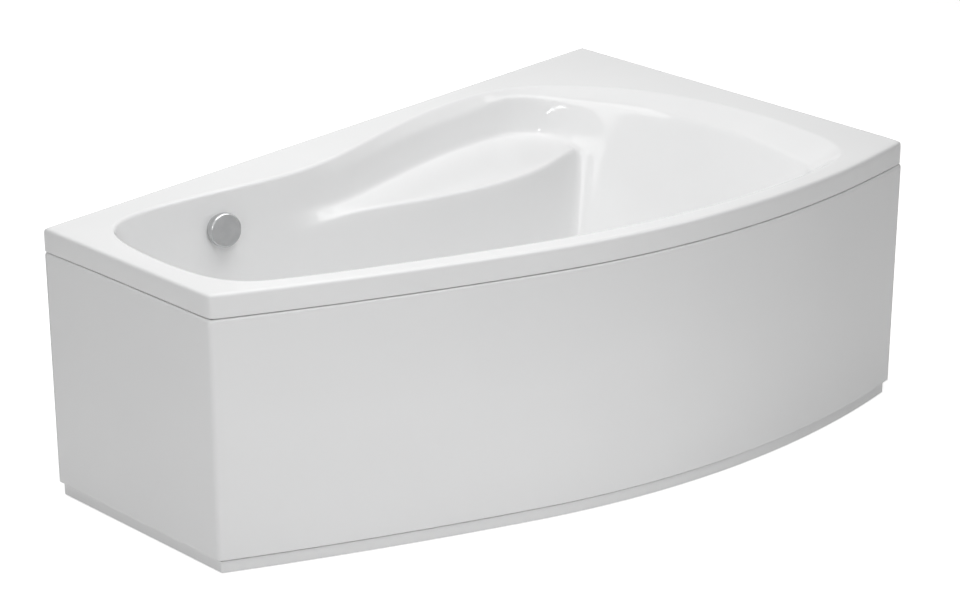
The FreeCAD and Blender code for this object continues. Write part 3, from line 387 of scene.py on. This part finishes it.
# Rails, brackets, clips and stays
# Pressed and folded steel strip with a bright zinc coat. The rails are screwed up into the board, the
# brackets and clips into the rim blocks, and the stays are bolted under the rails.
zinc, tree, shader, place = new_finish("zinc_plate", 0.36, metallic=1.0)
spangle = tree.nodes.new("ShaderNodeTexVoronoi")
spangle.inputs["Scale"].default_value = 160.0
tree.links.new(place, spangle.inputs["Vector"])
plate = ramp_between(tree, spangle.outputs["Color"], (0.50, 0.51, 0.53), (0.66, 0.67, 0.68), 0.1, 0.9)
tree.links.new(plate, shader.inputs["Base Color"])
rough_between(tree, shader, cloudy(tree, place, 60.0, 5.0), 0.28, 0.46)
coat(zinc, "rail_foot_end", "rail_middle", "rail_head_end", "rail_screws", "panel_clips", "panel_clip_screws",
     "wall_brackets", "wall_bracket_screws", "panel_stays", "panel_stay_bolts", "panel_stay_screws",
     "overflow_screws")


# Foot rods and their lock nuts
# Steel studs with a rolled thread and a bright zinc coat. Each passes through a rail between two
# hexagon nuts with chamfered corners, which lock the height.
bright_zinc, tree, shader, place = new_finish("bright_zinc", 0.28, metallic=1.0)
dulled = ramp_between(tree, cloudy(tree, place, 180.0, 4.0), (0.56, 0.56, 0.54), (0.70, 0.70, 0.69))
tree.links.new(dulled, shader.inputs["Base Color"])
rough_between(tree, shader, cloudy(tree, place, 320.0, 4.0), 0.22, 0.38)

thread_pitch, thread_depth, steps_a_turn, rod_chamfer = 0.00175, 0.0009, 14, 0.0008
rod_low, rod_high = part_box("foot_rod_1")
rod_radius, rod_length = (rod_high.x - rod_low.x) / 2, rod_high.z - rod_low.z
core_radius = rod_radius - thread_depth
rod_shape = bmesh.new()
tooth = [rod_shape.verts.new((rod_radius - depth, 0.0, rise * thread_pitch))
         for depth, rise in ((0.0, 0.5), (thread_depth, 1.0), (0.0, 1.5))]
flanks = [rod_shape.edges.new(pair) for pair in zip(tooth, tooth[1:])]
turns = int(rod_length / thread_pitch) - 2
bmesh.ops.spin(
    rod_shape, geom=tooth + flanks, cent=(0, 0, 0), axis=(0, 0, 1), dvec=(0, 0, thread_pitch / steps_a_turn),
    angle=math.tau * turns, steps=steps_a_turn * turns, use_duplicate=False)
bmesh.ops.remove_doubles(rod_shape, verts=rod_shape.verts, dist=0.00003)
bmesh.ops.recalc_face_normals(rod_shape, faces=rod_shape.faces)
core = bmesh.ops.create_cone(
    rod_shape, cap_ends=True, segments=28, radius1=core_radius, radius2=core_radius, depth=rod_length,
    matrix=Matrix.Translation((0.0, 0.0, rod_length / 2)))
rims = {e for v in core["verts"] for e in v.link_edges if abs(e.verts[0].co.z - e.verts[1].co.z) < 1e-6}
bmesh.ops.bevel(
    rod_shape, geom=list(rims), offset=rod_chamfer, offset_type="OFFSET", segments=2, profile=0.5,
    affect="EDGES", material=-1)
foot_spots = []
for k in range(1, 7):
    rod_low, rod_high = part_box(f"foot_rod_{k}")
    foot_spots.append(Vector(((rod_low.x + rod_high.x) / 2, (rod_low.y + rod_high.y) / 2, 0.0)))
    bm = rod_shape.copy()
    bmesh.ops.translate(bm, verts=bm.verts, vec=foot_spots[-1] + Vector((0.0, 0.0, rod_low.z)))
    rod = piece_from(f"threaded_rod_{k}", bm, bright_zinc)
    rod.data.set_sharp_from_angle(angle=math.radians(35))
    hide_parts(f"foot_rod_{k}")
    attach(rod, f"foot_{k}")
rod_shape.free()

nut_height, nut_corner, corner_cut, top_cut, edge_break = 0.01, 0.011, 0.0001, 0.0011, 0.0003
rail_top, rail_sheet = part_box("rail_middle")[1].z, 0.002
bm = bmesh.new()
for spot in foot_spots:
    for nut_low in (rail_top, rail_top - rail_sheet - nut_height):
        nut = bmesh.new()
        bmesh.ops.create_cone(
            nut, cap_ends=True, segments=6, radius1=nut_corner, radius2=nut_corner, depth=nut_height)
        for corner in range(6):
            for side in (-1, 1):
                out = Matrix.Rotation(math.tau * corner / 6, 3, "Z") @ Vector((1.0, 0.0, 0.0))
                cut_face = out * 0.5 + Vector((0, 0, side * 0.866))
                cut_at = out * (nut_corner - corner_cut) + Vector((0, 0, side * (nut_height / 2 - top_cut)))
                bmesh.ops.bisect_plane(
                    nut, geom=nut.verts[:] + nut.edges[:] + nut.faces[:], plane_co=cut_at, plane_no=cut_face,
                    clear_outer=True)
                bmesh.ops.holes_fill(nut, edges=[e for e in nut.edges if e.is_boundary])
        bmesh.ops.bevel(
            nut, geom=nut.edges, offset=edge_break, offset_type="OFFSET", segments=1, profile=0.5,
            affect="EDGES", material=-1)
        bmesh.ops.transform(
            nut, matrix=Matrix.Translation(spot + Vector((0, 0, nut_low + nut_height / 2))), verts=nut.verts)
        shape = bpy.data.meshes.new("nut_shape")
        nut.to_mesh(shape)
        nut.free()
        bm.from_mesh(shape)
        bpy.data.meshes.remove(shape)
lock_nuts = piece_from("lock_nuts", bm, bright_zinc)
lock_nuts.data.set_sharp_from_angle(angle=math.radians(20))
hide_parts("foot_lock_nuts")
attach(lock_nuts, "bath")


# Levelling pads
# Black nylon mouldings, one on the end of each rod: a round foot with a boss, stiffened by eight ribs.
black_nylon, tree, shader, place = new_finish("black_nylon", 0.45)
moulded = ramp_between(tree, cloudy(tree, place, 40.0, 4.0), (0.018, 0.018, 0.019), (0.032, 0.032, 0.033))
tree.links.new(moulded, shader.inputs["Base Color"])
rough_between(tree, shader, cloudy(tree, place, 120.0, 4.0), 0.38, 0.55)
raise_grain(tree, shader, cloudy(tree, place, 900.0), 0.12, 0.0003)


def turned_shape(profile, steps=72):
    """A closed shape turned about the upright axis from (radius, height) points."""
    bm = bmesh.new()
    points = [bm.verts.new((radius, 0.0, height)) for radius, height in profile]
    lines = [bm.edges.new(pair) for pair in zip(points, points[1:])]
    bmesh.ops.spin(
        bm, geom=points + lines, cent=(0, 0, 0), axis=(0, 0, 1), angle=math.tau, steps=steps, use_merge=True,
        use_duplicate=False)
    bmesh.ops.remove_doubles(bm, verts=bm.verts, dist=0.000005)
    bmesh.ops.recalc_face_normals(bm, faces=bm.faces)
    return bm


pad_profile = [
    (0.0, 0.0), (0.0262, 0.0), (0.0275, 0.0005), (0.028, 0.0016), (0.028, 0.0068), (0.0276, 0.0082),
    (0.0262, 0.0095), (0.0245, 0.0100), (0.0140, 0.0102), (0.0125, 0.0108), (0.0120, 0.0122),
    (0.0118, 0.0226), (0.0112, 0.0237), (0.0102, 0.0240), (0.0063, 0.0240), (0.0061, 0.0064), (0.0, 0.0062)]
rib_count, rib_start, rib_foot, rib_length, rib_width, rib_height = 8, 0.0115, 0.0098, 0.0135, 0.0018, 0.0075
rib_slope_radius, rib_slope_height, rib_slope = 0.018, 0.012, 0.9
for k, spot in enumerate(foot_spots, 1):
    bm = turned_shape(pad_profile)
    for rib in range(rib_count):
        middle = Matrix.Translation((rib_start + rib_length / 2, 0.0, rib_foot + rib_height / 2))
        size = Matrix.Diagonal((rib_length, rib_width, rib_height, 1.0))
        spread = Matrix.Rotation(math.tau * rib / rib_count, 4, "Z")
        block = bmesh.ops.create_cube(bm, size=1.0, matrix=spread @ middle @ size)["verts"]
        for vert in block:
            if vert.co.xy.length > rib_slope_radius and vert.co.z > rib_slope_height:
                vert.co.z -= rib_height * rib_slope
    bmesh.ops.translate(bm, verts=bm.verts, vec=spot)
    pad = piece_from(f"levelling_pad_{k}", bm, black_nylon)
    pad.data.set_sharp_from_angle(angle=math.radians(40))
    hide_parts(f"foot_pad_{k}")
    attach(pad, f"foot_{k}")


# Waste
# A chrome flange seals the hole in the floor on a rubber ring, and a domed chrome plug drops into it on
# a brass stem. The white body under the floor takes the water to the trap.
chrome, tree, shader, place = new_finish("chrome_plate", 0.1, metallic=1.0)
bright = ramp_between(tree, cloudy(tree, place, 60.0), (0.53, 0.535, 0.54), (0.57, 0.575, 0.58))
tree.links.new(bright, shader.inputs["Base Color"])
rough_between(tree, shader, cloudy(tree, place, 200.0, 4.0), 0.07, 0.14)
coat(chrome, "waste_flange")

plug_profile = [
    (0.0, 0.0), (0.0236, 0.0), (0.0252, 0.0004), (0.0259, 0.0012), (0.0260, 0.0018), (0.0257, 0.0026),
    (0.0248, 0.0031), (0.0240, 0.0030), (0.0235, 0.0028), (0.0228, 0.0030), (0.0205, 0.0041),
    (0.0170, 0.0052), (0.0125, 0.0062), (0.0065, 0.0068), (0.0, 0.0070)]
bm = turned_shape(plug_profile, 96)
bmesh.ops.translate(bm, verts=bm.verts, vec=waste_at + Vector((0, 0, plug_low.z)))
plug = piece_from("domed_plug", bm, chrome)
plug.data.set_sharp_from_angle(angle=math.radians(50))
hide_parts("waste_plug")
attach(plug, "plug")

brass, tree, shader, place = new_finish("turned_brass", 0.3, metallic=1.0)
turning = ramp_between(tree, cloudy(tree, place, 300.0), (0.62, 0.46, 0.20), (0.74, 0.58, 0.30))
tree.links.new(turning, shader.inputs["Base Color"])
rough_between(tree, shader, cloudy(tree, place, 150.0, 4.0), 0.22, 0.36)
coat(brass, "knob_spindle", "plug_stem")

rubber, tree, shader, place = new_finish("black_rubber", 0.7)
bloom = ramp_between(tree, cloudy(tree, place, 50.0), (0.015, 0.015, 0.015), (0.03, 0.03, 0.03))
tree.links.new(bloom, shader.inputs["Base Color"])
rough_between(tree, shader, cloudy(tree, place, 120.0, 4.0), 0.6, 0.8)
coat(rubber, "overflow_gasket", "waste_gasket", "waste_seal", "plug_seal")

white_plastic, tree, shader, place = new_finish("white_polypropylene", 0.35)
milky = ramp_between(tree, cloudy(tree, place, 20.0), (0.76, 0.76, 0.745), (0.80, 0.80, 0.79))
tree.links.new(milky, shader.inputs["Base Color"])
rough_between(tree, shader, cloudy(tree, place, 90.0, 4.0), 0.3, 0.42)
coat(white_plastic, "overflow_elbow", "waste_body", "trap", "drain_pipe")


# Overflow cap
# A round chrome cap, hollow behind, pushed onto a brass spindle. Turning it lifts the plug through a
# wire, and the water runs off through the gap behind it.
cap_profile = [
    (0.0052, 0.0070), (0.0090, 0.0070), (0.0090, 0.0252), (0.0100, 0.0256), (0.0302, 0.0256),
    (0.0310, 0.0250), (0.0310, 0.0072), (0.0316, 0.0070), (0.0328, 0.0070), (0.0335, 0.0074),
    (0.0344, 0.0100), (0.0354, 0.0135), (0.0360, 0.0162), (0.0360, 0.0236), (0.03594, 0.02446),
    (0.0357, 0.02535), (0.03533, 0.02618), (0.03483, 0.0269), (0.03421, 0.02748), (0.03348, 0.02785),
    (0.0327, 0.0280), (0.0318, 0.02795), (0.0310, 0.0279), (0.0160, 0.0279), (0.0, 0.0279)]
bm = turned_shape(cap_profile, 128)
bmesh.ops.transform(bm, matrix=overflow_frame, verts=bm.verts)
cap = piece_from("overflow_cap", bm, chrome)
cap.data.set_sharp_from_angle(angle=math.radians(50))
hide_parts("overflow_knob")
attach(cap, "knob")
coat(chrome, "overflow_rosette")


# Overflow pipe, nuts and conduit
# A bent grey pipe joins the elbow to the waste. Black nylon union nuts, ribbed for the hand, hold it and
# the trap, and a stiff nylon conduit for the wire runs beside it in two clips.
grey_plastic, tree, shader, place = new_finish("grey_polypropylene", 0.4)
dull = ramp_between(tree, cloudy(tree, place, 20.0), (0.30, 0.31, 0.32), (0.36, 0.37, 0.38))
tree.links.new(dull, shader.inputs["Base Color"])
rough_between(tree, shader, cloudy(tree, place, 90.0, 4.0), 0.33, 0.46)
coat(grey_plastic, "overflow_pipe")
coat(black_nylon, "conduit_clips", "wire_conduit")

nut_radius, nut_length, spigot_bore, pipe_bore, spigot_depth = 0.024, 0.026, 0.02005, 0.01605, 0.018
grip_steps, grip_pitch, grip_depth = 96, 4, 0.0012


def grip_nut(bm, middle, way, onward_bore):
    """One ribbed union nut, open wide over the spigot and narrower where the pipe goes on along way."""
    rows = [
        (spigot_bore, 0.0), (nut_radius - 0.0014, 0.0), (nut_radius - 0.0004, 0.0006), (nut_radius, 0.0016),
        (nut_radius, nut_length - 0.003), (nut_radius - 0.0006, nut_length - 0.0012),
        (nut_radius - 0.002, nut_length), (onward_bore, nut_length), (onward_bore, spigot_depth),
        (spigot_bore, spigot_depth)]
    turned, loops = [], []
    for radius, height in rows:
        row = bmesh.ops.create_circle(
            bm, segments=grip_steps, radius=radius, matrix=Matrix.Translation((0.0, 0.0, height)))["verts"]
        if radius > nut_radius - 0.001:
            for groove in range(0, grip_steps, grip_pitch):
                for vert in row[groove:groove + grip_pitch // 2]:
                    vert.co.xy *= 1.0 - grip_depth / radius
        turned += row
        loops.append(list({e for v in row for e in v.link_edges}))
    for near, far in zip(loops, loops[1:] + loops[:1]):
        bmesh.ops.bridge_loops(bm, edges=near + far)
    stand = way.to_track_quat("Z", "Y").to_matrix().to_4x4()
    place = Matrix.Translation(middle) @ stand @ Matrix.Translation((0.0, 0.0, -nut_length / 2))
    bmesh.ops.transform(bm, matrix=place, verts=turned)


down, back_way, branch_way = Vector((0.0, 0.0, -1.0)), Vector((0.0, 1.0, 0.0)), Vector((0.1109, 0.9938, 0.0))
pipe_nuts = (
    (Vector((-0.42435, 0.39709, 0.46025)), down), (Vector((-0.44872, 0.17877, 0.138)), branch_way))
trap_nuts = (
    (Vector((-0.45504, 0.12213, 0.093)), down), (Vector((-0.38304, 0.17313, 0.11)), back_way))
nut_sets = (
    ("pipe_nuts", "union_nuts", pipe_nuts, pipe_bore),
    ("trap_grip_nuts", "trap_nuts", trap_nuts, spigot_bore))
for name, node, places, bore in nut_sets:
    bm = bmesh.new()
    for middle, way in places:
        grip_nut(bm, middle, way, bore)
    bmesh.ops.remove_doubles(bm, verts=bm.verts, dist=0.000005)
    bmesh.ops.recalc_face_normals(bm, faces=bm.faces)
    nuts = piece_from(name, bm, black_nylon)
    nuts.data.set_sharp_from_angle(angle=math.radians(25))
    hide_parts(node)
    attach(nuts, "bath")


# Front panel
# A thinner sheet of the same white acrylic, bent round the narrow end and bowed along the front.
# Its top lip hooks onto clips under the rim, and its set-back plinth is screwed to the stays.
panel_acrylic, tree, shader, place = new_finish("panel_acrylic", 0.14, ior=1.49)
panel_white = ramp_between(tree, cloudy(tree, place, 2.0), (0.876, 0.878, 0.88), (0.894, 0.896, 0.897))
tree.links.new(panel_white, shader.inputs["Base Color"])
rough_between(tree, shader, cloudy(tree, place, 30.0, 4.0), 0.11, 0.18)
raise_grain(tree, shader, cloudy(tree, place, 9.0), 0.05, 0.002)

panel_low, panel_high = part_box("front_panel")
plinth_inset, plinth_top, gap_foot, gap_back, edge_band = 0.0115, 0.035, 0.0275, 0.03, 0.006
lip_start, lip_end, foot_return, panel_sheet, end_gap = 0.0132, 0.024, 0.04, 0.004, 0.003
roll_lean, roll_drop = 0.0042, 0.0075
roll_turns = [math.radians(90 - 15 * step) for step in range(7)]
top_roll = [
    (roll_lean * (1 - math.cos(turn)), panel_high.z - roll_drop * (1 - math.sin(turn)))
    for turn in roll_turns]
panel_skin = [
    (lip_start, panel_high.z), *top_roll, (0.0, panel_high.z - roll_drop - edge_band),
    (0.0, plinth_top + edge_band), (0.0, plinth_top), (lip_start, plinth_top)]
plinth_skin = [
    (lip_start, gap_foot), (plinth_inset, gap_foot), (plinth_inset, gap_foot - edge_band),
    (plinth_inset, panel_low.z + edge_band), (plinth_inset, panel_low.z), (lip_start, panel_low.z)]
panel_folds = (
    [(lip_start, panel_high.z), (lip_end, panel_high.z)],
    [(lip_start, plinth_top), (gap_back, plinth_top), (gap_back, gap_foot), (lip_start, gap_foot)],
    [(lip_start, panel_low.z), (foot_return, panel_low.z)])
corner_round = 0.014
round_reach = math.sqrt((run_radius - corner_round) ** 2 - (foot_x + corner_round - run_centre.x) ** 2)
round_centre = Vector((foot_x + corner_round, run_centre.y - round_reach, 0.0))
run_out = (round_centre - run_centre).normalized()
belly_out = (belly_centre - run_centre).normalized()
end_cosine = (panel_high.x - end_gap - belly_centre.x) / belly_radius
end_out = Vector((end_cosine, -math.sqrt(1.0 - end_cosine ** 2), 0.0))


def plan_angle(start, end):
    return math.atan2(start.cross(end).z, start.dot(end))


def section(bm, profile, point, inward):
    points = [bm.verts.new(point + inward * inset + Vector((0, 0, z))) for inset, z in profile]
    return [bm.edges.new(pair) for pair in zip(points, points[1:])]


def drawn(bm, edges, way):
    """Pulls the sheet's open end along a straight way."""
    made = bmesh.ops.extrude_edge_only(bm, edges=edges)["geom"]
    moved = {v for v in made if isinstance(v, bmesh.types.BMVert)}
    bmesh.ops.translate(bm, verts=list(moved), vec=way)
    return [e for e in made if isinstance(e, bmesh.types.BMEdge) and moved.issuperset(e.verts)]


def bent(bm, edges, centre, angle, steps):
    """Bends the sheet's open end round a centre."""
    ends = list({v for e in edges for v in e.verts})
    last = bmesh.ops.spin(
        bm, geom=ends + edges, cent=centre, axis=(0, 0, 1), angle=angle, steps=steps, use_duplicate=False)
    return [e for e in last["geom_last"] if isinstance(e, bmesh.types.BMEdge)]


def bowed(bm, edges):
    """The run and the belly of the front."""
    first = edge_band / run_radius
    edges = bent(bm, edges, run_centre, first, 1)
    edges = bent(bm, edges, run_centre, plan_angle(run_out, belly_out) - first, 16)
    edges = bent(bm, edges, belly_centre, plan_angle(belly_out, end_out) - edge_band / belly_radius, 48)
    return bent(bm, edges, belly_centre, edge_band / belly_radius, 1)


bm = bmesh.new()
wall_start = Vector((foot_x, panel_high.y, 0.0))
foot_way = Vector((0.0, round_centre.y - panel_high.y, 0.0))
last_bit = Vector((0.0, -edge_band, 0.0))
for profile in (panel_skin, plinth_skin, *panel_folds):
    edges = section(bm, profile, wall_start, foot_in)
    for way in (last_bit, foot_way - 2 * last_bit, last_bit):
        edges = drawn(bm, edges, way)
    if profile in panel_folds:
        edges = section(bm, profile, run_centre + run_out * run_radius, -run_out)
    else:
        edges = bent(bm, edges, round_centre, plan_angle(-foot_in, run_out), 10)
    bowed(bm, edges)
bmesh.ops.remove_doubles(bm, verts=bm.verts, dist=0.00001)
bmesh.ops.recalc_face_normals(bm, faces=bm.faces)
largest = max(bm.faces, key=lambda f: f.calc_area())
if largest.normal.dot(largest.calc_center_median() - belly_centre) < 0:
    bmesh.ops.reverse_faces(bm, faces=bm.faces)
for height, soft in ((plinth_top, 0.0015), (gap_foot, 0.0008), (panel_low.z, 0.001)):
    folds = [e for e in bm.edges if e.is_manifold and e.calc_face_angle() > 1.2
             and all(abs(v.co.z - height) < 0.0001 for v in e.verts)]
    if height in (plinth_top, gap_foot):
        folds = [e for e in folds
                 if not gap_foot < min(f.calc_center_median().z for f in e.link_faces) < plinth_top]
    bmesh.ops.bevel(
        bm, geom=folds, offset=soft, offset_type="OFFSET", segments=5, profile=0.5, affect="EDGES",
        material=-1)
apron = piece_from("apron", bm, panel_acrylic)
wall = apron.modifiers.new("sheet", "SOLIDIFY")
wall.thickness, wall.offset = panel_sheet, -1.0
apron.data.set_sharp_from_angle(angle=math.radians(40))
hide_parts("front_panel")
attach(apron, "bath")


# Studio
# A pale floor that runs out of sight and soft lights above, in front, low at the panel and behind. The
# top, corner, strip and edge lights also show as reflections in the acrylic and the chrome.
floor_paint, tree, shader, place = new_finish("studio_floor", 0.9)
shader.inputs["Base Color"].default_value = (0.9, 0.9, 0.9, 1.0)
seen = tree.nodes.new("ShaderNodeLightPath")
direct = tree.nodes.new("ShaderNodeMath")
direct.operation = "MAXIMUM"
tree.links.new(seen.outputs["Is Camera Ray"], direct.inputs[0])
tree.links.new(seen.outputs["Is Glossy Ray"], direct.inputs[1])
glow = tree.nodes.new("ShaderNodeMath")
glow.operation = "MULTIPLY"
glow.inputs[1].default_value = 0.7
tree.links.new(direct.outputs["Value"], glow.inputs[0])
shader.inputs["Emission Color"].default_value = (1.0, 1.0, 1.0, 1.0)
tree.links.new(glow.outputs["Value"], shader.inputs["Emission Strength"])
bm = bmesh.new()
bmesh.ops.create_grid(bm, x_segments=1, y_segments=1, size=40.0)
bmesh.ops.translate(bm, verts=bm.verts, vec=(0.0, 0.0, -0.0005))
floor = piece_from("floor", bm, floor_paint)

world = bpy.data.worlds.new("studio")
bpy.context.scene.world = world
world.use_nodes = True
sky = world.node_tree.nodes["Background"]
seen = world.node_tree.nodes.new("ShaderNodeLightPath")
shown = world.node_tree.nodes.new("ShaderNodeMath")
shown.operation = "MAXIMUM"
level = world.node_tree.nodes.new("ShaderNodeMapRange")
level.inputs["To Min"].default_value = 0.21
level.inputs["To Max"].default_value = 1.0
world.node_tree.links.new(seen.outputs["Is Camera Ray"], shown.inputs[0])
world.node_tree.links.new(seen.outputs["Is Glossy Ray"], shown.inputs[1])
world.node_tree.links.new(shown.outputs["Value"], level.inputs["Value"])
world.node_tree.links.new(level.outputs["Result"], sky.inputs["Strength"])
sky.inputs["Color"].default_value = (1.0, 1.0, 1.0, 1.0)


def soft_light(name, where, target, width, height, power):
    lamp = bpy.data.lights.new(name, "AREA")
    lamp.shape, lamp.size, lamp.size_y, lamp.energy = "RECTANGLE", width, height, power
    holder = bpy.data.objects.new(name, lamp)
    bpy.context.scene.collection.objects.link(holder)
    holder.location = where
    holder.rotation_euler = (Vector(target) - Vector(where)).to_track_quat("-Z", "Y").to_euler()
    return holder


soft_light("top_light", (-0.42, 0.0, 2.6), (-0.42, 0.01, 0.0), 2.2, 1.8, 25.5)
soft_light("corner_light", (1.55, 1.5, 2.6), (0.45, 0.3, 0.5), 1.5, 1.9, 2.8)
soft_light("strip_light", (-3.4, -1.2, 1.3), (0.0, 0.0, 0.5), 0.14, 2.0, 10.5)
high_light = soft_light("high_light", (-1.7, -2.2, 2.9), (-0.7, -0.9, 0.0), 1.6, 1.2, 23.5)
rear_top_light = soft_light("rear_top_light", (0.3, 0.5, 2.4), (0.3, 0.51, 0.0), 1.6, 1.2, 6.7)
low_light = soft_light("low_light", (-0.42, -0.93, 0.06), (-0.175, -0.25, 0.06), 1.6, 0.1, 0.7)
low_light.visible_camera = False
edge_light = soft_light("edge_light", (0.4, -1.75, 2.6), (0.4, -1.74, 0.0), 2.4, 1.8, 30.0)
edge_light.visible_diffuse = False
back_light = soft_light("back_light", (0.8, 3.4, 1.2), (0.0, 0.0, 0.35), 1.8, 1.4, 8.0)
for lamp in (high_light, rear_top_light, low_light, back_light):
    lamp.visible_glossy = False

camera = bpy.data.objects.new("camera", bpy.data.cameras.new("camera"))
bpy.context.scene.collection.objects.link(camera)
bpy.context.scene.camera = camera
camera.location = (-4.024, -3.843, 2.723)
picture_width, focal_pixels, film_width = 960.0, 2876.0, 36.0
camera.data.sensor_width = film_width
camera.data.lens = focal_pixels / picture_width * film_width
turn, tilt = math.radians(46.04), math.radians(23.33)
sight = Vector((math.sin(turn) * math.cos(tilt), math.cos(turn) * math.cos(tilt), -math.sin(tilt)))
camera.rotation_euler = sight.to_track_quat("-Z", "Y").to_euler()
camera.data.clip_end = 200.0

bpy.context.scene.view_settings.view_transform = "Standard"
